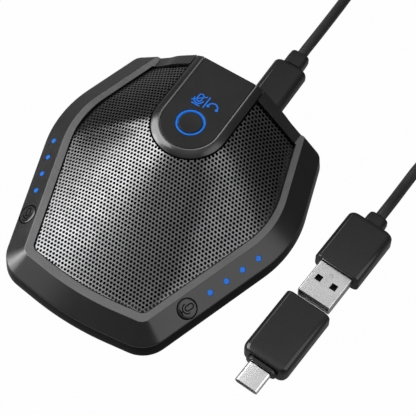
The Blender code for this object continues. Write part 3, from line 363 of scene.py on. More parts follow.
# Base tray: gloss black ABS, drawn in under the rim to a narrow foot. It is moulded with four
# screw bosses, recesses for the rubber feet and the lower half of the plug's port.
gap = 0.0003
overrun = 0.002
band_z, slope_z, slope_out, seam_z = 0.0115, 0.0070, 0.00635, 0.0064
widest_z, widest_out = 0.0019, 0.00675
base_z, base_out = 0.0008, 0.0063
base_wall, back_wall, floor_thick = 0.0023, 0.0018, 0.0016
band_corners = (Vector((0, -0.0869)), Vector((0.0227, -0.08385)), Vector((0.03966, -0.0336)),
                Vector((0.02894, 0)), Vector((-0.02894, 0)))
corner_radii = (0.095, 0.0037, 0.033, 0.0008)
corner_steps = (20, 10, 24, 6)
smallest_radius, inward_growth = 0.0005, 0.35
crease_angle = math.radians(32)
foot_radius, foot_thick = 0.0045, 0.0014
boss_radius, boss_top = 0.0034, 0.0044
head_radius, head_ceiling = 0.0020, 0.0030
shaft_radius, shaft_top = 0.00095, 0.0082
post_spots = [(side * x, body_back - run) for x, run in ((0.0195, 0.0801), (0.0270, 0.0080))
              for side in (-1, 1)]
socket_width, socket_height = 0.00945, 0.0036


def moved_edge(start, end, out):
    """Edge moved out sideways, as its start and direction."""
    along = (end - start).normalized()
    return start + Vector((along.y, -along.x)) * out, along


def crossing(first, second):
    """Where two lines meet, each given by its start and direction."""
    (start, along), (other, other_along) = first, second
    cross = along.x * other_along.y - along.y * other_along.x
    between = other - start
    return start + along * ((between.x * other_along.y - between.y * other_along.x) / cross)


def rounded_corner(corner, before, after, radius, steps):
    """Arc of points that rounds a corner between two directions."""
    turn = math.atan2(before.x * after.y - before.y * after.x, before.dot(after))
    start = corner - before * radius * math.tan(turn / 2)
    centre = start + Vector((-before.y, before.x)) * radius
    return [centre + Matrix.Rotation(turn * step / steps, 2) @ (start - centre)
            for step in range(steps + 1)]


def grown_radius(radius, out, growth):
    """Corner radius of an outline that is moved out or in."""
    return max(radius + out * (growth if out > 0 else inward_growth), smallest_radius)


def body_ring(z, outs, back=0.0):
    """Body outline at one height, each edge moved out, from the front peak round to the left."""
    front, side, rear = outs if isinstance(outs, tuple) else (outs, outs, outs)
    edges = [moved_edge(band_corners[index], band_corners[index + 1], out)
             for index, out in enumerate((front, side, rear, back))]
    middle = (Vector((0, 0)), Vector((0, 1)))
    corners = (crossing(edges[0], middle), *(crossing(edges[index], edges[index + 1]) for index in range(3)))
    along = [edge[1] for edge in edges]
    before = (Vector((along[0].x, -along[0].y)), along[0], along[1], along[2])
    radii = (corner_radii[0] + front, grown_radius(corner_radii[1], (front + side) / 2, 1),
             grown_radius(corner_radii[2], (side + rear) / 2, 1), grown_radius(corner_radii[3], rear, 0.55))
    half = []
    for index, corner in enumerate(corners):
        arc = rounded_corner(corner, before[index], along[index], radii[index], corner_steps[index])
        half += arc[len(arc) // 2:] if index == 0 else arc
    outline = half + [Vector((-point.x, point.y)) for point in reversed(half[1:])]
    return [Vector((point.x, point.y + body_back, z)) for point in outline]


def smooth_profile(stations, steps):
    """Finer row of (out, height) points through the given ones."""
    run = smooth_run([Vector((out, height, 0)) for out, height in stations], steps=steps)
    return [(point.x, point.y) for point in run]


def smooth_shaded(mesh):
    """Smooth shading with sharp creases."""
    mesh.shade_smooth()
    mesh.set_sharp_from_angle(angle=crease_angle)
    return mesh


def finished_mesh(bm, name):
    """Mesh of a finished bmesh, its faces turned outward."""
    bmesh.ops.recalc_face_normals(bm, faces=bm.faces)
    mesh = bpy.data.meshes.new(name)
    bm.to_mesh(mesh)
    bm.free()
    return smooth_shaded(mesh)


def skinned(name, rings, looped=False, place=None):
    """Skin over rings of equal count or single points, capped at both ends or closed into a loop."""
    bm = bmesh.new()
    loops = [[bm.verts.new(place @ point if place else point) for point in points] for points in rings]
    for lower, upper in list(zip(loops, loops[1:])) + ([(loops[-1], loops[0])] if looped else []):
        for index in range(max(len(lower), len(upper))):
            corners = [ring[(index + step) % len(ring)]
                       for ring, step in ((lower, 0), (lower, 1), (upper, 1), (upper, 0))]
            bm.faces.new(list(dict.fromkeys(corners)))
    for ring in () if looped else (loops[0], loops[-1]):
        if len(ring) > 1:
            bm.faces.new(ring)
    return finished_mesh(bm, name)


def round_bar(name, radius, low, high, place, sides=40):
    bm = bmesh.new()
    bmesh.ops.create_cone(bm, cap_ends=True, segments=sides, radius1=radius, radius2=radius,
                          depth=high - low, matrix=place @ at(0, 0, (low + high) / 2))
    return finished_mesh(bm, name)


def one_mesh(name, meshes):
    """Several separate meshes as one."""
    bm = bmesh.new()
    for mesh in meshes:
        bm.from_mesh(mesh)
    return finished_mesh(bm, name)


def bars_at(spots, name, radius, low, high, sides=40):
    """Upright round bars at the given spots as one mesh."""
    return one_mesh(name, [round_bar(name, radius, low, high, at(x, y), sides) for x, y in spots])


def worked(mesh, *steps, solver="EXACT", edge=0.0, edge_angle=40):
    """Mesh after a row of (operation, tool) boolean steps and an optional eased edge."""
    blank = placed("blank", mesh)
    tools = []
    for operation, shape in steps:
        tool = placed("tool", shape)
        change = blank.modifiers.new(operation, "BOOLEAN")
        change.operation, change.solver, change.object = operation, solver, tool
        tools.append(tool)
    if edge:
        ease = blank.modifiers.new("ease", "BEVEL")
        ease.width, ease.segments = edge, 2
        ease.limit_method, ease.angle_limit = "ANGLE", math.radians(edge_angle)
    result = bpy.data.meshes.new_from_object(blank.evaluated_get(bpy.context.evaluated_depsgraph_get()))
    for item in (blank, *tools):
        bpy.data.objects.remove(item)
    return smooth_shaded(result)


def fit_piece(name, mesh, finishes, body, slot, *stands_for):
    """Put a finished mesh on its body, in place of the plain solids it stands for."""
    piece = placed(name, mesh)
    mesh.name = name
    mesh.materials.clear()
    for finish in finishes if isinstance(finishes, tuple) else (finishes,):
        mesh.materials.append(finish)
    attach(piece, body)
    if stands_for:
        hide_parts(*stands_for)


def dress(finish, *names):
    """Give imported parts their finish."""
    for name in names:
        for slot in nodes[name].material_slots:
            slot.material = finish


def rounded_section(width, height, radius, along, steps=10):
    """Rounded rectangle across the local Y axis."""
    radius = min(radius, width / 2 * 0.999, height / 2 * 0.999)
    points = []
    for right, up, quarter in ((1, 1, 0), (-1, 1, 1), (-1, -1, 2), (1, -1, 3)):
        for step in range(steps + 1):
            angle = (quarter + step / steps) * math.pi / 2
            points.append(Vector((right * (width / 2 - radius) + radius * math.cos(angle), along,
                                  up * (height / 2 - radius) + radius * math.sin(angle))))
    return points


def port_tool():
    """Oval cutter for the plug's port in the back wall."""
    width, height = socket_width + 2 * gap, socket_height + 2 * gap
    return skinned("port_tool", [rounded_section(width, height, height / 2, along)
                                 for along in (-back_wall - overrun, overrun)], place=port_place)


tray_top = seam_z - gap
tray_outside = smooth_profile((
    (base_out, base_z),
    (widest_out + (base_out - widest_out) * 0.36, widest_z + (base_z - widest_z) * 0.75),
    (widest_out, widest_z),
    (slope_out + (widest_out - slope_out) * 0.62, tray_top + (widest_z - tray_top) * 0.45),
    (slope_out, tray_top),
), 3)
tray_rings = [body_ring(z, out) for out, z in tray_outside]
tray_rings.append(body_ring(tray_top, slope_out - base_wall, -back_wall))
tray_rings.append(body_ring(base_z + floor_thick, widest_out - base_wall, -back_wall))
tray = worked(
    skinned("tray", tray_rings),
    ("UNION", bars_at(post_spots, "bosses", boss_radius, base_z + floor_thick / 2, boss_top)),
    ("DIFFERENCE", bars_at(post_spots, "foot_recesses", foot_radius + gap, -overrun, foot_thick + gap)),
    ("DIFFERENCE", bars_at(post_spots, "head_bores", head_radius + gap, base_z, head_ceiling)),
    ("DIFFERENCE", bars_at(post_spots, "shaft_bores", shaft_radius + gap, base_z, boss_top + overrun, 24)),
    ("DIFFERENCE", port_tool()),
)
gloss_black = plastic("base_plastic", grey(0.002, 0.0022), grey(0.004, 0.0043), smooth=0.16, rough=0.26,
                      grain=1400, depth=0.000004, gloss=0.07)
fit_piece("base_tray", tray, gloss_black, "microphone", "base_plastic", "base_shell")


# Feet: four die-cut rubber discs glued into the recesses over the case screws.
# The rubber is matt and slightly dusty. The boots round the capsules are moulded from the same.
foot_rubber = plastic("black_rubber", grey(0.010), grey(0.022), smooth=0.70, rough=0.92,
                      grain=1500, depth=0.00002)
dress(foot_rubber, "foot_1", "foot_2", "foot_3", "foot_4")


# Screws, socket shell and weight: zinc-plated screws, a folded socket shell with the same plating,
# and a rolled steel plate that lies on the tray's floor to keep the light case from sliding.

# Rolled or drawn metal: fine lines along one axis over cloudy tarnish. Puts out a colour,
# a roughness and a height for the material's own nodes.
drawn, drawn_in, drawn_out = surface_group(
    "drawn_metal", ("Color", "Colour", (0.6, 0.6, 0.6, 1)), ("Color", "Dull Colour", (0.5, 0.5, 0.5, 1)),
    ("Vector", "Line Scale", (4000.0, 200.0, 4000.0)), ("Float", "Cloud Scale", 300.0),
    ("Float", "Smooth", 0.2), ("Float", "Rough", 0.4))
drawn_place = drawn.nodes.new("ShaderNodeTexCoord").outputs["Object"]
stretch = drawn.nodes.new("ShaderNodeVectorMath")
stretch.operation = "MULTIPLY"
join_nodes(drawn, (drawn_place, stretch.inputs[0]), (drawn_in["Line Scale"], stretch.inputs[1]))
line_level = add_speckle(drawn, stretch.outputs[0], 1.0, 2, 0.5, 0.35, 0.65)
dullness = add_speckle(drawn, drawn_place, drawn_in["Cloud Scale"], 3, 0.5, 0.35, 0.65)
uneven = add_math(drawn, "MULTIPLY", line_level, dullness)
join_nodes(
    drawn, (add_mix(drawn, dullness, drawn_in["Colour"], drawn_in["Dull Colour"]), drawn_out["Colour"]),
    (add_range(drawn, uneven, drawn_in["Smooth"], drawn_in["Rough"]), drawn_out["Roughness"]),
    (line_level, drawn_out["Height"]),
)


def metal(name, colour, dull_colour, smooth, rough, lines, depth):
    """Bare or plated metal with fine drawn lines."""
    return skin_material(name, drawn, depth, {
        "Colour": (*colour, 1), "Dull Colour": (*dull_colour, 1), "Line Scale": lines,
        "Smooth": smooth, "Rough": rough}, {"Metallic": 1.0})


screw_zinc = metal("plated_steel", grey(0.62, 0.64), grey(0.48, 0.49), smooth=0.22, rough=0.42,
                   lines=(3000, 3000, 300), depth=0.000004)
dress(screw_zinc, "base_screw_1", "base_screw_2", "base_screw_3", "base_screw_4", "board_screw_left",
      "board_screw_right", "control_screw_left", "control_screw_right", "usb_socket")
plate_iron = metal("weight_steel", grey(0.30, 0.31), (0.20, 0.19, 0.18), smooth=0.40, rough=0.60,
                   lines=(300, 2500, 2500), depth=0.00001)
dress(plate_iron, "weight_plate")


# Circuit boards: green solder mask over glass laminate, with fine copper runs under the mask.
# The main board lies on the tray, the control board under the panel, a small one behind each key.
mask_green, mask_tree, mask_shader = blank_material("circuit_board")
mask_place = mask_tree.nodes.new("ShaderNodeTexCoord").outputs["Object"]
runs = mask_tree.nodes.new("ShaderNodeTexBrick")
for label, value in (
        ("Vector", mask_place), ("Scale", 260), ("Mortar Size", 0.012), ("Color1", (0.010, 0.070, 0.028, 1)),
        ("Color2", (0.014, 0.090, 0.036, 1)), ("Mortar", (0.030, 0.160, 0.060, 1))):
    feed(mask_tree, value, runs.inputs[label])
mask_cloud = add_noise(mask_tree, mask_place, 400, 3, 0.5)
lead_in(mask_tree, mask_shader, runs.outputs["Color"], add_range(mask_tree, mask_cloud, 0.25, 0.5),
        runs.outputs["Fac"], 0.00002)
dress(mask_green, "main_board", "control_board", "side_board_left", "side_board_right")


# Switches, microphone capsules and ribbon: bought-in parts soldered to the boards.
# Black switch housings, bright capsule cans in rubber boots, and an amber film ribbon.
switch_black = plastic("switch_plastic", grey(0.020), grey(0.036), smooth=0.40, rough=0.60,
                       grain=2500, depth=0.00001)
dress(switch_black, "mute_switch", "mic_switch_left", "mic_switch_right")
can_bright = metal("capsule_can", (0.60, 0.61, 0.63), (0.50, 0.51, 0.52), smooth=0.20, rough=0.36,
                   lines=(3000, 3000, 300), depth=0.000004)
dress(can_bright, "mic_capsule_front", "mic_capsule_left", "mic_capsule_right")
dress(foot_rubber, "mic_boot_front", "mic_boot_left", "mic_boot_right")
film_amber = plastic("ribbon_film", (0.30, 0.13, 0.025), (0.38, 0.18, 0.04), smooth=0.25, rough=0.40,
                     grain=900, depth=0.000005)
dress(film_amber, "ribbon_cable")
lens_clear = plastic("clear_lens", (0.28, 0.31, 0.34), (0.34, 0.37, 0.40), smooth=0.10, rough=0.25,
                     grain=1500, depth=0.000003)
dress(lens_clear, "icon_lens")


# Rim housing: one satin black moulding, the sloping rim, the flat band that frames the grille and
# the gable wall at the back. The band is given a lighter grey, glossier copy of the housing's plastic.
rim_wall, seam_wall = 0.0016, 0.0020
band_front, band_side, band_rear, band_back = 0.0029, 0.0025, 0.0022, 0.0039
ledge, ledge_z, ledge_thick, ledge_root = 0.0020, 0.0101, 0.0014, 0.0006
edge_round, corner_round, shade_stop = 0.00035, 0.00030, 0.0002
bezel_top, bezel_in, bezel_land, bezel_out = 0.0263, 0.0098, 0.0103, 0.01265
bezel_drop, bezel_skirt, skirt_wall = 0.00125, 0.0048, 0.0014
panel_ledge, panel_seat, panel_thick, panel_recess = 0.0012, 0.0014, 0.0010, 0.0001
bezel_chamfer = 0.0002
seat_z = bezel_top - panel_seat
ledge_in = bezel_in - panel_ledge
ledge_under = seat_z - panel_ledge + 2 * bezel_chamfer
skirt_z, skirt_in = bezel_top - bezel_skirt, bezel_out - skirt_wall
panel_top = bezel_top - panel_recess
panel_low = panel_top - panel_thick
gable_foot, gable_shoulder = 0.0274, 0.0250
gable_shares = ((0, 0), (0.27, 0.267), (0.512, 0.548), (1, 1))
post_radius = 0.0024
light_out, light_radius, light_slack = 0.0034, 0.00085, gap / 2
light_runs = [0.0233 + 0.0064 * index for index in range(4)]
side_key_run, side_key_out, side_key_radius, side_key_slack = 0.0142, 0.0033, 0.0031, 1.3 * gap
hole_depth = 0.0034
flat_normal = 0.985


def band_inset(extra=0.0):
    return -band_front - extra, -band_side - extra, -band_rear - extra


slope_lean = Vector((band_z - slope_z, slope_out)).normalized()


def rim_place(side, along, out):
    """Frame on the sloping rim: Z out of the surface, Y along the side edge to the back."""
    edge = (band_corners[2] - band_corners[1]).normalized()
    spot = band_corners[1] + edge * along + Vector((edge.y, -edge.x)) * out
    normal = Vector((side * edge.y * slope_lean.x, -edge.x * slope_lean.x, slope_lean.y))
    forward = Vector((side * edge.x, edge.y, 0))
    place = Matrix((forward.cross(normal), forward, normal)).transposed().to_4x4()
    height = band_z + (slope_z - band_z) * out / slope_out
    place.translation = (side * spot.x, spot.y + body_back, height)
    return place


def gable_section(y):
    """Gable outline with the notch that carries the bezel's back ends."""
    shoulder = bezel_out + gap
    slope = smooth_profile([(gable_foot + (shoulder - gable_foot) * across,
                             band_z + (gable_shoulder - band_z) * rise) for across, rise in gable_shares], 5)
    half = [(gable_foot, ledge_z), *slope, (shoulder, skirt_z - gap), (skirt_in - gap, skirt_z - gap),
            (skirt_in - gap, ledge_under - gap), (ledge_in - gap, ledge_under - gap),
            (ledge_in - gap, panel_low - gap)]
    return [Vector((x, y, z)) for x, z in half + [(-x, z) for x, z in reversed(half)]]


middle = Vector((slope_out / 2, (band_z + slope_z) / 2)) - slope_lean * rim_wall
ledge_low = ledge_z - ledge_thick
upslope = Vector((-slope_lean.y, slope_lean.x))
rim_section = [Vector((slope_out, seam_z))]
for corner, before, after, radius in (
        (Vector((slope_out, slope_z)), Vector((0, 1)), upslope, corner_round),
        (Vector((0, band_z)), upslope, Vector((-1, 0)), edge_round)):
    arc = rounded_corner(corner, before, after, radius, 3)
    rim_section += [arc[0] - before * shade_stop, *arc, arc[-1] + after * shade_stop]
rim_rings = [body_ring(point.y, point.x) for point in reversed(rim_section)]
rim_rings += [body_ring(*station) for station in (
    (seam_z, slope_out - seam_wall, -back_wall),
    (middle.y, middle.x, -back_wall),
    (ledge_low, ledge_root, -back_wall),
    (ledge_low, band_inset(ledge), -band_back - ledge),
    (ledge_z, band_inset(ledge), -band_back - ledge),
    (ledge_z, band_inset(), -band_back),
    (band_z - edge_round / 3, band_inset(), -band_back),
    (band_z, band_inset(-edge_round / 3), -band_back),
)]
rim_holes = []
for side in (-1, 1):
    for along, out, radius, sides in (
            *((run, light_out, light_radius + light_slack, 32) for run in light_runs),
            (side_key_run, side_key_out, side_key_radius + side_key_slack, 64)):
        place = rim_place(side, along, out)
        rim_holes.append(round_bar("rim_hole", radius, -hole_depth, overrun, place, sides))
rim = worked(
    skinned("rim", rim_rings, looped=True),
    ("UNION", skinned("gable", (gable_section(body_back), gable_section(body_back - band_back)))),
    ("UNION", bars_at(post_spots, "posts", post_radius, boss_top + gap, ledge_z - gap)),
    ("DIFFERENCE", bars_at(post_spots, "post_bores", shaft_radius + gap, 0, shaft_top + gap, 24)),
    ("DIFFERENCE", port_tool()), ("DIFFERENCE", one_mesh("rim_holes", rim_holes)),
)
satin_black = plastic("satin_housing", grey(0.003, 0.0032), grey(0.006, 0.0063), smooth=0.20, rough=0.27,
                      grain=2600, depth=0.000002, gloss=0.6)
band_grey = plastic("band_finish", grey(0.042, 0.043), grey(0.072, 0.074), smooth=0.34, rough=0.46,
                    grain=1900, depth=0.000006, gloss=0.8)
fit_piece("rim_moulding", rim, (satin_black, band_grey), "microphone", "satin_housing", "rim_housing")
for face in rim.polygons:
    level = abs(face.center.z - band_z) < edge_round / 9 and face.normal.z > flat_normal
    if level and face.center.y < body_back - band_back / 2:
        face.material_index = 1


# Light dots: short clear pins on a light bar behind each side of the rim, lit from behind in
# blue. They stand flush in their holes, their glow faintly uneven.
blue_light, blue_tree, blue_shader = blank_material("blue_light")
blue_cloud = add_noise(blue_tree, blue_tree.nodes.new("ShaderNodeTexCoord").outputs["Object"], 900, 2, 0.5)
blue_shader.inputs["Emission Strength"].default_value = 0.52
blue_shader.inputs["Specular IOR Level"].default_value = 0.15
join_nodes(
    blue_tree,
    (add_mix(blue_tree, blue_cloud, (0.006, 0.17, 0.86, 1), (0.012, 0.27, 1.0, 1)),
     blue_shader.inputs["Emission Color"]),
    (add_mix(blue_tree, blue_cloud, (0.003, 0.04, 0.22, 1), (0.006, 0.07, 0.30, 1)),
     blue_shader.inputs["Base Color"]),
    (add_range(blue_tree, blue_cloud, 0.2, 0.4), blue_shader.inputs["Roughness"]),
)
dress(blue_light, "led_bar_left", "led_bar_right")


# Side keys: round satin caps cut flush with the slope of the rim, each printed with a
# microphone sign in dark ink. They press straight in against the switch on the side board.
side_key_thick, side_stem_radius, side_stem_length = 0.0009, 0.0015, 0.0014
print_lift, print_sink = 0.000012, 0.00003


def circle(radius, z, sides):
    """Ring of points about local Z, or its middle point where the radius is 0."""
    turns = [step * math.tau / sides for step in range(sides if radius > 0 else 1)]
    return [Vector((radius * math.cos(turn), radius * math.sin(turn), z)) for turn in turns]


def stroke(points, width, looped=False):
    """Left and right edges of a drawn line of even width."""
    count = len(points)
    left, right = [], []
    for index, point in enumerate(points):
        before = points[(index - 1) % count] if looped or index else point
        after = points[(index + 1) % count] if looped or index < count - 1 else point
        run = (Vector(after) - Vector(before)).normalized()
        across = Vector((-run.y, run.x)) * width / 2
        left.append(Vector(point) + across)
        right.append(Vector(point) - across)
    return left, right


def printed_lines(name, drawings, to_surface):
    """Thin raised ink over a surface, from (points, width, looped) drawings."""
    lines = []
    for points, width, looped in drawings:
        rows = [[to_surface(spot.x, spot.y, lift) for spot, lift in (
            (first, print_lift), (second, print_lift), (second, -print_sink), (first, -print_sink))]
            for first, second in zip(*stroke(points, width, looped))]
        lines.append(skinned("line", rows, looped))
    return one_mesh(name, lines)


def arc_points(centre, radius, start, end, steps):
    """Points on an arc from start to end, in degrees."""
    angles = [math.radians(start + (end - start) * step / steps) for step in range(steps + 1)]
    return [(centre[0] + radius * math.cos(angle), centre[1] + radius * math.sin(angle)) for angle in angles]


def capsule_points(half, low, high):
    """Upright outline with round ends, such as a microphone's head."""
    return arc_points((0, high), half, 0, 180, 10) + arc_points((0, low), half, 180, 360, 10)


key_sign = (
    (capsule_points(0.00082, 0.00020, 0.00150), 0.00038, True),
    (arc_points((0, 0.00015), 0.00165, 180, 360, 16), 0.00038, False),
    ([(0, -0.00150), (0, -0.00215)], 0.00040, False),
    ([(-0.00110, -0.00222), (0.00110, -0.00222)], 0.00038, False),
)
key_ink = plastic("key_ink", grey(0.001), grey(0.002), smooth=0.6, rough=0.7,
                  grain=2500, depth=0.000004, gloss=0.02)
side_key_profile = (
    (0.001, 0), (0.002, 0), (side_key_radius - 0.00006, 0), (side_key_radius - 0.00002, -0.00002),
    (side_key_radius, -0.00006), (side_key_radius, -side_key_thick), (side_stem_radius, -side_key_thick),
    (side_stem_radius, -side_key_thick - side_stem_length),
)
for side, label in ((-1, "left"), (1, "right")):
    place = rim_place(side, side_key_run, side_key_out)
    cap = skinned("side_key", [circle(radius, z, 64) for radius, z in side_key_profile], place=place)
    fit_piece(f"side_key_{label}", cap, satin_black, f"{label}_key", "satin_housing", f"mic_key_{label}")
    sign = printed_lines("key_sign", key_sign, lambda x, y, lift: place @ Vector((x, y, lift)))
    fit_piece(f"key_sign_{label}", sign, key_ink, f"{label}_key", "satin_housing")


# Dust mesh: a black woven polyester sheet heat-sealed under the grille, which keeps the
# holes dark. Its threads cross square to the body.
weave, weave_tree, weave_shader = blank_material("dust_cloth")
weave_place = weave_tree.nodes.new("ShaderNodeTexCoord").outputs["Object"]
threads = []
for axis in ("X", "Y"):
    wave = weave_tree.nodes.new("ShaderNodeTexWave")
    wave.bands_direction = axis
    for label, value in (("Vector", weave_place), ("Scale", 1600), ("Distortion", 0.3)):
        feed(weave_tree, value, wave.inputs[label])
    threads.append(wave.outputs["Fac"])
crossed = add_math(weave_tree, "MAXIMUM", *threads)
thread_black = add_mix(weave_tree, crossed, (0.0006, 0.0006, 0.0006, 1), (0.003, 0.003, 0.003, 1))
weave_shader.inputs["Specular IOR Level"].default_value = 0.1
lead_in(weave_tree, weave_shader, thread_black, add_range(weave_tree, crossed, 0.95, 0.8), crossed, 0.00003)
dress(weave, "dust_mesh")


# Grille: 0.3 mm steel sheet punched with 1 mm round holes in staggered rows, pressed into
# facets that rise from the band to the tongue, and painted dark grey. It drops in behind the band.
hole_pitch, hole_radius, sheet_thick = 0.0012, 0.00049, 0.0003
columns, rows, tile_points = 68, 74, 8
hood_edge_z, hood_crown, hood_crown_z, crown_gap = 0.0112, 0.0123, 0.02525, 0.0005
tongue_y, tongue_steps = body_back - 0.0233, 48
hole_phase, sheet_front = (0.0008, body_back - 0.0445), body_back - 0.0880
facet_slopes, flank_headings, corner_headings, flank_drop = (0.5, 0.999), (85, 91), (91, 107), 0.0003
crease_band, crease_crown = (0.0368, body_back - 0.0348), (0.0123, body_back - 0.0268)
form_cell, form_side, form_ahead, form_behind = 0.001, 56, 104, 13
crease_spread, bend_spread, kept_edge = 0.0055, 0.0014, 0.0060
drop_height, form_limit, weld, seal = 0.1, 0.05, 0.00002, 0.000005


def tongue_outline(half, z, back_y):
    """U outline of the tongue: straight sides from the back, round front end."""
    turns = [math.pi * step / tongue_steps for step in range(tongue_steps + 1)]
    return [Vector((half, back_y, z)),
            *(Vector((half * math.cos(turn), tongue_y - half * math.sin(turn), z)) for turn in turns),
            Vector((-half, back_y, z))]


hood_back = -band_back - gap
crown_points = tongue_outline(hood_crown, hood_crown_z, body_back + hood_back)
edge_points = body_ring(hood_edge_z, band_inset(gap), hood_back)
hull = bmesh.new()
for point in edge_points + crown_points:
    hull.verts.new(point)
bmesh.ops.convex_hull(hull, input=hull.verts)
# The hull's slopes by their heading from the back. The narrow ones at the side corners are left
# out, so that their neighbours meet in one crease, and the left flank lies a little lower.
facets = []
for face in hull.faces:
    heading = abs(math.degrees(math.atan2(face.normal.x, face.normal.y)))
    corner = corner_headings[0] < heading < corner_headings[1]
    if facet_slopes[0] < face.normal.z < facet_slopes[1] and not corner:
        flank = flank_headings[0] < heading <= flank_headings[1] and face.normal.x < 0
        lowered = flank_drop if flank else 0
        facets.append((*face.normal, face.normal.dot(face.verts[0].co) - lowered * face.normal.z))
hull.free()


def eased(form, spread):
    """Pressed heights with their creases eased over the given spread."""
    reach = math.ceil(spread * 2.5 / form_cell)
    weights = np.exp(-0.5 * (np.arange(-reach, reach + 1) * form_cell / spread) ** 2)
    for axis in (0, 1):
        margin = [(reach, reach) if axis == across else (0, 0) for across in (0, 1)]
        padded = np.pad(form, margin, mode="edge")
        form = np.apply_along_axis(np.convolve, axis, padded, weights / weights.sum(), "valid")
    return form


# Press form: the facets' lowest plane over a grid, its creases eased except near the hood's edges
# and along the left crease, which stay crisp.
form_x = np.arange(-form_side, form_side + 1) * form_cell
form_y = body_back + np.arange(-form_ahead, form_behind + 1) * form_cell
plan_x, plan_y = np.meshgrid(form_x, form_y)
facet_x, facet_y, facet_z, facet_reach = (np.array(column)[:, None, None] for column in zip(*facets))
plain_form = ((facet_reach - facet_x * plan_x - facet_y * plan_y) / facet_z).min(axis=0)
soft_form = eased(plain_form, crease_spread)
sharp_lines = [list(zip(outline, outline[1:] + outline[:1])) for outline in (edge_points, crown_points)]
sharp_lines.append([[Vector((-x, y, 0)) for x, y in (crease_band, crease_crown)]])
nearest = np.full_like(plan_x, math.inf)
for before, after in (pair for line in sharp_lines for pair in line):
    run_x, run_y = after.x - before.x, after.y - before.y
    length = max(run_x * run_x + run_y * run_y, 1e-12)
    along = np.clip(((plan_x - before.x) * run_x + (plan_y - before.y) * run_y) / length, 0, 1)
    reach = np.hypot(plan_x - before.x - run_x * along, plan_y - before.y - run_y * along)
    nearest = np.minimum(nearest, reach)
ease = np.clip(nearest / kept_edge, 0, 1)
form_z = eased(plain_form + (soft_form - plain_form) * ease * ease * (3 - 2 * ease), bend_spread)
wide = len(form_x)
form_points = np.stack((plan_x, plan_y, form_z), axis=-1).reshape(-1, 3)
form_mesh = bpy.data.meshes.new("press_form")
form_mesh.from_pydata([tuple(point) for point in form_points], [], [
    (row * wide + column, row * wide + column + 1, (row + 1) * wide + column + 1, (row + 1) * wide + column)
    for row in range(len(form_y) - 1) for column in range(wide - 1)])
press_form = placed("press_form", form_mesh)

hood_paint = metal("hood_steel", grey(0.150, 0.152), grey(0.125, 0.127), smooth=0.22, rough=0.30,
                   lines=(1800, 1800, 1800), depth=0.000002)
start_x = hole_phase[0] - round((columns / 2) + hole_phase[0] / hole_pitch) * hole_pitch
start_y = hole_phase[1] + math.floor((sheet_front - hole_phase[1]) / (2 * hole_pitch)) * 2 * hole_pitch
sheet_settings = {
    "Pitch": ("Float", hole_pitch), "Hole Radius": ("Float", hole_radius),
    "Thickness": ("Float", sheet_thick), "Columns": ("Int", columns), "Rows": ("Int", rows),
    "Start": ("Vector", (start_x, start_y, drop_height)), "Form": ("Object", press_form),
    "Paint": ("Material", hood_paint),
}
punched = bpy.data.node_groups.new("punched_sheet", "GeometryNodeTree")
sheet_inputs = {
    label: punched.interface.new_socket(label, in_out="INPUT", socket_type="NodeSocket" + kind).identifier
    for label, (kind, value) in sheet_settings.items()}
punched.interface.new_socket("Sheet", in_out="OUTPUT", socket_type="NodeSocketGeometry")
given = punched.nodes.new("NodeGroupInput").outputs


def node(kind, inputs=(), **modes):
    """Outputs of a node in the punched sheet's tree, given sockets or values for its inputs."""
    made_node = punched.nodes.new(kind)
    for key, value in modes.items():
        setattr(made_node, key, value)
    for key, value in dict(inputs).items():
        feed(punched, value, made_node.inputs[key])
    return made_node.outputs


def figure(operation, *values):
    return add_math(punched, operation, *values)


def joined(*parts):
    """Geometry of several parts together."""
    union = punched.nodes.new("GeometryNodeJoinGeometry")
    for part in parts:
        punched.links.new(part, union.inputs[0])
    return union.outputs[0]


# One tile of the sheet: a square of one pitch with a round hole, both with eight points.
tile = node("GeometryNodeCurvePrimitiveQuadrilateral", {"Width": given["Pitch"], "Height": given["Pitch"]})
tile_edge = node("GeometryNodeResampleCurve", {"Count": tile_points, "Curve": tile[0]})
punch = node("GeometryNodeCurvePrimitiveCircle", {"Resolution": tile_points, "Radius": given["Hole Radius"]})
tile_face = node("GeometryNodeFillCurve", {"Curve": joined(tile_edge[0], punch[0])})

# Tiles in rows, each second row half a pitch across, welded and dropped on the press form.
index = node("GeometryNodeInputIndex")[0]
row = figure("FLOOR", figure("DIVIDE", figure("ADD", index, 0.5), given["Columns"]))
column = figure("SUBTRACT", index, figure("MULTIPLY", row, given["Columns"]))
stagger = figure("MULTIPLY", figure("MODULO", row, 2.0), 0.5)
spot = node("ShaderNodeCombineXYZ", {
    "X": figure("MULTIPLY", figure("ADD", column, stagger), given["Pitch"]),
    "Y": figure("MULTIPLY", row, given["Pitch"])})
shifted = node("ShaderNodeVectorMath", {0: spot[0], 1: given["Start"]}, operation="ADD")
spots = node("GeometryNodePoints", {
    "Count": figure("MULTIPLY", given["Columns"], given["Rows"]), "Position": shifted[0]})
tiles = node("GeometryNodeInstanceOnPoints", {"Points": spots[0], "Instance": tile_face[0]})
flat_sheet = node("GeometryNodeRealizeInstances", {0: tiles[0]})
welded = node("GeometryNodeMergeByDistance", {"Geometry": flat_sheet[0], "Distance": weld})
form_info = node("GeometryNodeObjectInfo", {"Object": given["Form"]})
cast = node("GeometryNodeRaycast", {
    "Target Geometry": form_info["Geometry"], "Source Position": node("GeometryNodeInputPosition")[0],
    "Ray Direction": (0, 0, -1), "Ray Length": 1.0})
on_form = node("GeometryNodeSetPosition", {
    "Geometry": welded[0], "Selection": cast["Is Hit"], "Position": cast["Hit Position"]})

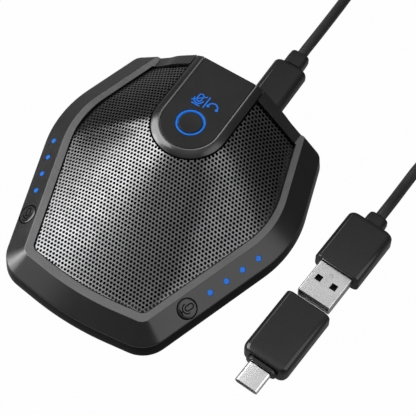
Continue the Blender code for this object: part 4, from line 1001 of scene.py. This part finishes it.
# What missed the form is cut off. The rest gets its thickness and its paint.
height_split = node("ShaderNodeSeparateXYZ", {0: node("GeometryNodeInputPosition")[0]})
too_high = node("FunctionNodeCompare", {0: height_split["Z"], 1: form_limit}, data_type="FLOAT",
                operation="GREATER_THAN")
top_sheet = node("GeometryNodeDeleteGeometry", {"Geometry": on_form[0], "Selection": too_high[0]})
downward = node("ShaderNodeCombineXYZ", {"Z": figure("MULTIPLY", given["Thickness"], -1.0)})
pressed = node("GeometryNodeExtrudeMesh", {
    "Mesh": top_sheet[0], "Offset": downward[0], "Offset Scale": 1.0, "Individual": False}, mode="FACES")
turned_over = node("GeometryNodeFlipFaces", {"Mesh": top_sheet[0]})
sealed = node("GeometryNodeMergeByDistance", {
    "Geometry": joined(pressed[0], turned_over[0]), "Distance": seal})
solid_sheet = node("GeometryNodeRealizeInstances", {0: sealed[0]})
painted = node("GeometryNodeSetMaterial", {"Geometry": solid_sheet[0], "Material": given["Paint"]})
punched.links.new(painted[0], punched.nodes.new("NodeGroupOutput").inputs[0])

sheet = placed("sheet", bpy.data.meshes.new("sheet"))
press = sheet.modifiers.new("punched_sheet", "NODES")
press.node_group = punched
for label, (kind, value) in sheet_settings.items():
    press[sheet_inputs[label]] = value
sheet_mesh = bpy.data.meshes.new_from_object(sheet.evaluated_get(bpy.context.evaluated_depsgraph_get()))
bpy.data.objects.remove(sheet)
bpy.data.objects.remove(press_form)
trim_low, trim_high = seam_z, bezel_top + overrun
trim = worked(
    skinned("trim", [body_ring(z, band_inset(gap), hood_back) for z in (trim_low, trim_high)]),
    ("DIFFERENCE", skinned("crown", [tongue_outline(bezel_out + crown_gap, z, body_back + overrun)
                                     for z in (trim_low - overrun, trim_high + overrun)])),
)
hood = worked(sheet_mesh, ("INTERSECT", trim), solver="MANIFOLD")
fit_piece("punched_hood", hood, hood_paint, "microphone", "hood_steel", "grille")


# Bezel: U-shaped gloss trim round the control panel, with a sloping outer face and a fine land inside
# that is coloured light grey as a painted highlight. Two pegs under it take the screws of the control board.
peg_radius, peg_x, peg_run = 0.0018, 0.0094, 0.0120
key_thick, stem_length, key_stem = 0.0018, 0.0022, 0.0015
mute_travel, press_spare, actuator, switch_thick = 0.0005, 0.0001, 0.0008, 0.0015
control_top = panel_top - key_thick - stem_length - mute_travel - press_spare - actuator - switch_thick - gap
bezel_section = (
    (bezel_in, seat_z), (bezel_in, bezel_top - bezel_chamfer), (bezel_land, bezel_top),
    (bezel_out, bezel_top - bezel_drop), (bezel_out, skirt_z), (skirt_in, skirt_z),
    (skirt_in, ledge_under), (ledge_in, ledge_under), (ledge_in, seat_z),
)
outlines = [tongue_outline(half, z, body_back) for half, z in bezel_section]
peg_spots = [(side * peg_x, body_back - peg_run) for side in (-1, 1)]
bezel = worked(skinned("bezel", [list(station) for station in zip(*outlines)]), edge=0.00012, edge_angle=15)
bezel = worked(
    bezel, ("UNION", bars_at(peg_spots, "pegs", peg_radius, control_top + gap, ledge_under + gap, 24)),
    ("DIFFERENCE", bars_at(peg_spots, "peg_bores", shaft_radius + gap, 0, ledge_under - gap, 24)),
)
trim_black = plastic("bezel_plastic", grey(0.004, 0.0042), grey(0.007, 0.0073), smooth=0.18, rough=0.26,
                     grain=2600, depth=0.0000006, gloss=0.75)
# Painted highlight: the land is the bezel's own black plastic made light grey, so that its edge looks lit.
land_highlight_grey = plastic("bezel_land", grey(0.10, 0.102), grey(0.15, 0.152), smooth=0.20, rough=0.30,
                    grain=2600, depth=0.000004, gloss=0.8)
fit_piece("bezel_trim", bezel, (trim_black, land_highlight_grey), "microphone", "bezel_plastic", "control_bezel")
# The inner chamfer's faces take the painted highlight grey.
for face in bezel.polygons:
    across = math.hypot(face.center.x, min(face.center.y - tongue_y, 0))
    if face.center.z > bezel_top - bezel_chamfer * 1.2 and across < bezel_land and face.normal.z > 0.5:
        face.material_index = 1


# Control panel: a flat plate of smoked acrylic, satin on top, dropped on the bezel's ledge.
# The mute key and its light ring come up through the round hole at the front.
ring_radius, ring_line, ring_flange = 0.0047, 0.0005, 0.0012
panel_half = bezel_in - gap / 2
ring_hole = round_bar("ring_hole", ring_radius + gap / 3, panel_low - overrun, panel_top + overrun,
                      at(0, tongue_y), 96)
panel = worked(skinned("panel", [tongue_outline(panel_half, z, body_back) for z in (panel_low, panel_top)]),
               ("DIFFERENCE", ring_hole), edge=0.0001)
for face in panel.polygons:
    face.use_smooth = abs(face.normal.z) < 0.999
panel_smoke = plastic("panel_plastic", grey(0.009, 0.0095), grey(0.013, 0.0135), smooth=0.26, rough=0.34,
                      grain=3000, depth=0.0000015, gloss=0.3)
fit_piece("panel_plate", panel, panel_smoke, "microphone", "panel_plastic", "control_panel")


# Signs on the panel: a crossed-out microphone, an upright bar and a telephone handset, laser-cut
# through the plate's paint so that the lens under it shows through in blue.
handset_x, handset_y = 0.00286, body_back - 0.01506


def moved_drawing(drawings, centre, scale):
    """Drawings scaled about their origin and moved to the centre."""
    return [([Vector(centre) + Vector(point) * scale for point in points], width, looped)
            for points, width, looped in drawings]


mute_sign = moved_drawing((
    (capsule_points(0.00060, 0.00000, 0.00090), 0.00038, True),
    (arc_points((0, 0.00000), 0.00120, 180, 360, 16), 0.00038, False),
    ([(0, -0.00115), (0, -0.00165)], 0.00038, False),
    ([(-0.00110, -0.00165), (0.00110, -0.00165)], 0.00042, False),
    ([(0.00146, 0.00150), (-0.00153, -0.00099)], 0.00036, False),
), (-0.0025, body_back - 0.01446), 1.37)
bar_sign = ([(0.00024, body_back - 0.01206), (0.00022, body_back - 0.01666)], 0.00040, False)
handset_arch = (arc_points((handset_x, handset_y), 0.00165, 5, 175, 20), 0.00045, False)
handset_ends = [
    (arc_points((handset_x + side * 0.00160, handset_y - 0.00010), 0.00026, 0, 324, 9), 0.00052, True)
    for side in (-1, 1)]
signs = printed_lines("panel_signs", [*mute_sign, bar_sign, handset_arch, *handset_ends],
                      lambda x, y, lift: Vector((x, y, panel_top + lift)))
fit_piece("panel_signs", signs, blue_light, "microphone", "blue_light")


# Light ring and mute key: a frosted ring lit from below, clipped under the panel, and the
# satin key cap that slides in it, slightly dished for the finger.
ring_in = ring_radius - ring_line
ring_edge = 0.00006
flange_top = panel_low - gap
cap_radius, cap_dish = ring_in - gap, 0.00012
dish_shares = ((0, 1), (0.35, 0.86), (0.65, 0.5), (0.85, 0.16))


def turned(name, profile, looped=False):
    """Turned piece on the key's axis, from a profile that runs from the top down its outer side."""
    return skinned(name, [circle(radius, z, 96) for radius, z in profile], looped, at(0, tongue_y))


light_ring = turned("ring", (
    (ring_in, panel_top - ring_edge), (ring_in + ring_edge, panel_top), (ring_radius - ring_edge, panel_top),
    (ring_radius, panel_top - ring_edge), (ring_radius, flange_top), (ring_radius + ring_flange, flange_top),
    (ring_radius + ring_flange, flange_top - ring_flange), (ring_in, flange_top - ring_flange),
), looped=True)
fit_piece("ring_light", light_ring, blue_light, "microphone", "blue_light", "light_ring")
key_low = panel_top - key_thick
key_cap = turned("cap", (
    *((cap_radius * share, panel_top - cap_dish * depth) for share, depth in dish_shares),
    (cap_radius - 0.0002, panel_top), (cap_radius - 0.00006, panel_top - 0.00003),
    (cap_radius, panel_top - 0.00015), (cap_radius, key_low), (key_stem, key_low),
    (key_stem, key_low - stem_length), (0, key_low - stem_length),
))
fit_piece("mute_cap", key_cap, panel_smoke, "mute", "panel_plastic", "mute_key")


# Small plug: the lead's over-moulded grip in satin PVC, pushed home in the back wall, with a
# short stepped boot where the lead leaves it. Its metal shell is hidden in the socket.
plug_size = 0.0122, 0.0064, 0.0026
plug_start, plug_length = 0.0005, 0.0228
boot_width, boot_height, boot_radius, boot_taper = 0.0070, 0.0055, 0.0018, 0.8


def grip(name, place, stations):
    """Rounded grip through (along, width, height, radius) stations."""
    return skinned(name, [rounded_section(width, height, radius, along)
                          for along, width, height, radius in stations], place=place)


def eased_end(along, way, width, height, radius, round_side, round_top):
    """Stations that round a grip's end over, from the full section to the tip."""
    stations = []
    for step in range(7):
        angle = math.pi / 2 * step / 6
        side_cut = round_side * (1 - math.cos(angle))
        top_cut = round_top * (1 - math.cos(angle))
        back = max(round_side, round_top) * (1 - math.sin(angle))
        stations.append((along - way * back, width - 2 * side_cut, height - 2 * top_cut,
                         max(radius - top_cut / 2, smallest_radius)))
    return stations


def eased_grip(name, place, start, end, size, start_round, end_round):
    """Grip of one (width, height, radius) with both ends rounded over."""
    front = eased_end(start, -1, *size, *start_round)[::-1]
    return grip(name, place, front + eased_end(end, 1, *size, *end_round))


def boot_mesh(name, place, start, length):
    """Short strain relief with a tapered end."""
    stations = [(along, boot_width, boot_height, boot_radius) for along in (start, start + length * 0.55)]
    stations += eased_end(start + length, 1, boot_width * 0.97, boot_height * 0.97, boot_radius,
                          boot_width * (1 - boot_taper) / 2, boot_height * (1 - boot_taper) / 2)
    return grip(name, place, stations)


grip_black = plastic("plug_moulding", grey(0.006, 0.0063), grey(0.010, 0.0104), smooth=0.15, rough=0.21,
                     grain=2200, depth=0.0000012, gloss=0.5)
small_end = plug_start + plug_length
small_grip = eased_grip("small_grip", port_place, plug_start, small_end, plug_size,
                        (0.0003, 0.0003), (0.0013, 0.0006))
small_boot = boot_mesh("small_boot", port_place, small_end + gap, 0.0057)
fit_piece("small_plug_grip", small_grip, grip_black, "microphone", "plug_moulding", "usb_c_overmold")
fit_piece("small_plug_boot", small_boot, grip_black, "microphone", "plug_moulding", "usb_c_boot")
shell_steel = metal("shell_steel", grey(0.86, 0.87), grey(0.70, 0.71), smooth=0.26, rough=0.42,
                    lines=(900, 5000, 3000), depth=0.000004)
dress(shell_steel, "usb_c_shell")


# Larger plug: the same grip over a folded steel shell with two square latch holes, and a plastic insert
# in its mouth, coloured near-black as painted shade in the latch windows. A small stamped mark shows
# where the shell's fold is clinched.
large_width, large_height, large_radius, large_length = 0.0164, 0.0080, 0.0022, 0.0200
shell_width, shell_height, shell_length, shell_radius, shell_wall = 0.0120, 0.0045, 0.0123, 0.0006, 0.00035
latch_hole, latch_x, latch_run = 0.0022, 0.0028, 0.00685
large_grip = eased_grip("large_grip", plug_place, 0, large_length, (large_width, large_height, large_radius),
                        (0.0004, 0.00025), (0.0016, 0.0006))
large_boot = boot_mesh("large_boot", plug_place, large_length + gap, 0.0040)
fit_piece("large_plug_grip", large_grip, grip_black, "microphone", "plug_moulding", "usb_a_overmold")
fit_piece("large_plug_boot", large_boot, grip_black, "microphone", "plug_moulding", "usb_a_boot")


def tube_shell(name, place, start, end, width, height, radius, lip=0.0001):
    """Open metal shell with eased mouth edges."""
    thick = 2 * shell_wall
    inner = max(radius - shell_wall, smallest_radius / 3)
    sections = (
        (start + lip, width, height, radius), (end, width, height, radius),
        (end, width - thick, height - thick, inner), (start + lip, width - thick, height - thick, inner),
        (start, width - thick + 2 * lip, height - thick + 2 * lip, inner + lip),
        (start, width - 2 * lip, height - 2 * lip, radius - lip),
    )
    return skinned(name, [rounded_section(wide, high, corner, along, 5)
                          for along, wide, high, corner in sections], looped=True, place=place)


def latch_tool(x, y):
    """Square cutter through the shell's top and bottom."""
    bm = bmesh.new()
    size = Matrix.Diagonal((latch_hole, latch_hole, 2 * shell_height, 1))
    bmesh.ops.create_cube(bm, size=1, matrix=plug_place @ at(x, y) @ size)
    return finished_mesh(bm, "latch")


shell_front = -gap - shell_length
latches = one_mesh("latches", [latch_tool(side * latch_x, shell_front + latch_run) for side in (-1, 1)])
large_shell = worked(tube_shell("large_shell", plug_place, shell_front, -gap, shell_width, shell_height,
                                shell_radius), ("DIFFERENCE", latches))
fit_piece("large_plug_shell", large_shell, shell_steel, "microphone", "plated_steel", "usb_a_shell")
clinch = printed_lines("clinch", (
    ([(-0.00045, -0.0032), (-0.00045, -0.0025), (0.00045, -0.0025), (0.00045, -0.0032)], 0.00016, False),
), lambda x, y, lift: plug_place @ Vector((x, y, shell_height / 2 + lift)))
# Painted shade: the stamped clinch is drawn as a thin raised line whose dark grey stands in for the shade in
# its groove.
clinch_shade_grey = metal("clinch_shade_line", grey(0.20), grey(0.14), smooth=0.4, rough=0.5, lines=(3000, 3000, 3000),
                    depth=0.000002)
fit_piece("shell_clinch", clinch, clinch_shade_grey, "microphone", "plated_steel")
# Painted shade: this near-black insert colour stands in for the shadow seen through the latch windows; the
# adapter's socket tongue shares it.
insert_painted_shade = plastic("insert_plastic", grey(0.012), grey(0.020), smooth=0.45, rough=0.60, grain=1800,
                       depth=0.000006, gloss=0.3)
dress(insert_painted_shade, "usb_a_insert", "adapter_socket_tongue")


# Adapter: a moulded sleeve that takes the larger plug in its back and ends in a stepped collar
# and the small oval plug. It lies apart and slides back on to the shell.
adapter_apart = 0.0152
adapter_width, adapter_length, adapter_taper = 0.0162, 0.0243, 0.0026
collar_width, collar_height, collar_length = 0.0109, 0.0048, 0.0011
oval_width, oval_height, oval_length = 0.00825, 0.0025, 0.0071
pocket_depth, pocket_radius, receptacle_wall = 0.0132, 0.0009, 0.0004
pocket_spare = 4 * gap + 2 * receptacle_wall
front_narrowing, front_thinning, front_sharpening = 0.2, 0.0014, 0.00035
adapter_place = plug_place @ at(0, -adapter_apart)
adapter_front = []
for step in range(9):
    angle = math.pi / 2 * step / 8
    taper_share = 1 - math.cos(angle)
    adapter_front.append((-adapter_length + adapter_taper * (1 - math.sin(angle)),
                          adapter_width * (1 - front_narrowing * taper_share),
                          large_height - front_thinning * taper_share,
                          large_radius - front_sharpening * taper_share))
pocket = skinned("pocket", [
    rounded_section(shell_width + pocket_spare, shell_height + pocket_spare, pocket_radius, along)
    for along in (-pocket_depth, overrun)], place=adapter_place)
adapter_body = worked(
    grip("adapter_body", adapter_place, adapter_front[::-1] + eased_end(
        0, 1, adapter_width, large_height, large_radius, 0.0005, 0.0003)),
    ("DIFFERENCE", pocket),
)
fit_piece("adapter_body", adapter_body, grip_black, "adapter", "plug_moulding", "adapter_overmold")
collar_start = -adapter_length - gap
collar_end = collar_start - collar_length
collar_size = collar_width, collar_height, collar_height / 2
collar = grip("collar", adapter_place,
              [(collar_start, *collar_size)] + eased_end(collar_end, -1, *collar_size, 0.0003, 0.0003))
fit_piece("adapter_step", collar, grip_black, "adapter", "plug_moulding", "adapter_collar")
small_shell = tube_shell("small_shell", adapter_place, collar_end - gap - oval_length, collar_end - gap,
                         oval_width, oval_height, oval_height / 2, 0.00008)
fit_piece("adapter_shell", small_shell, shell_steel, "adapter", "plated_steel", "adapter_c_shell")
dress(shell_steel, "adapter_socket_shell")
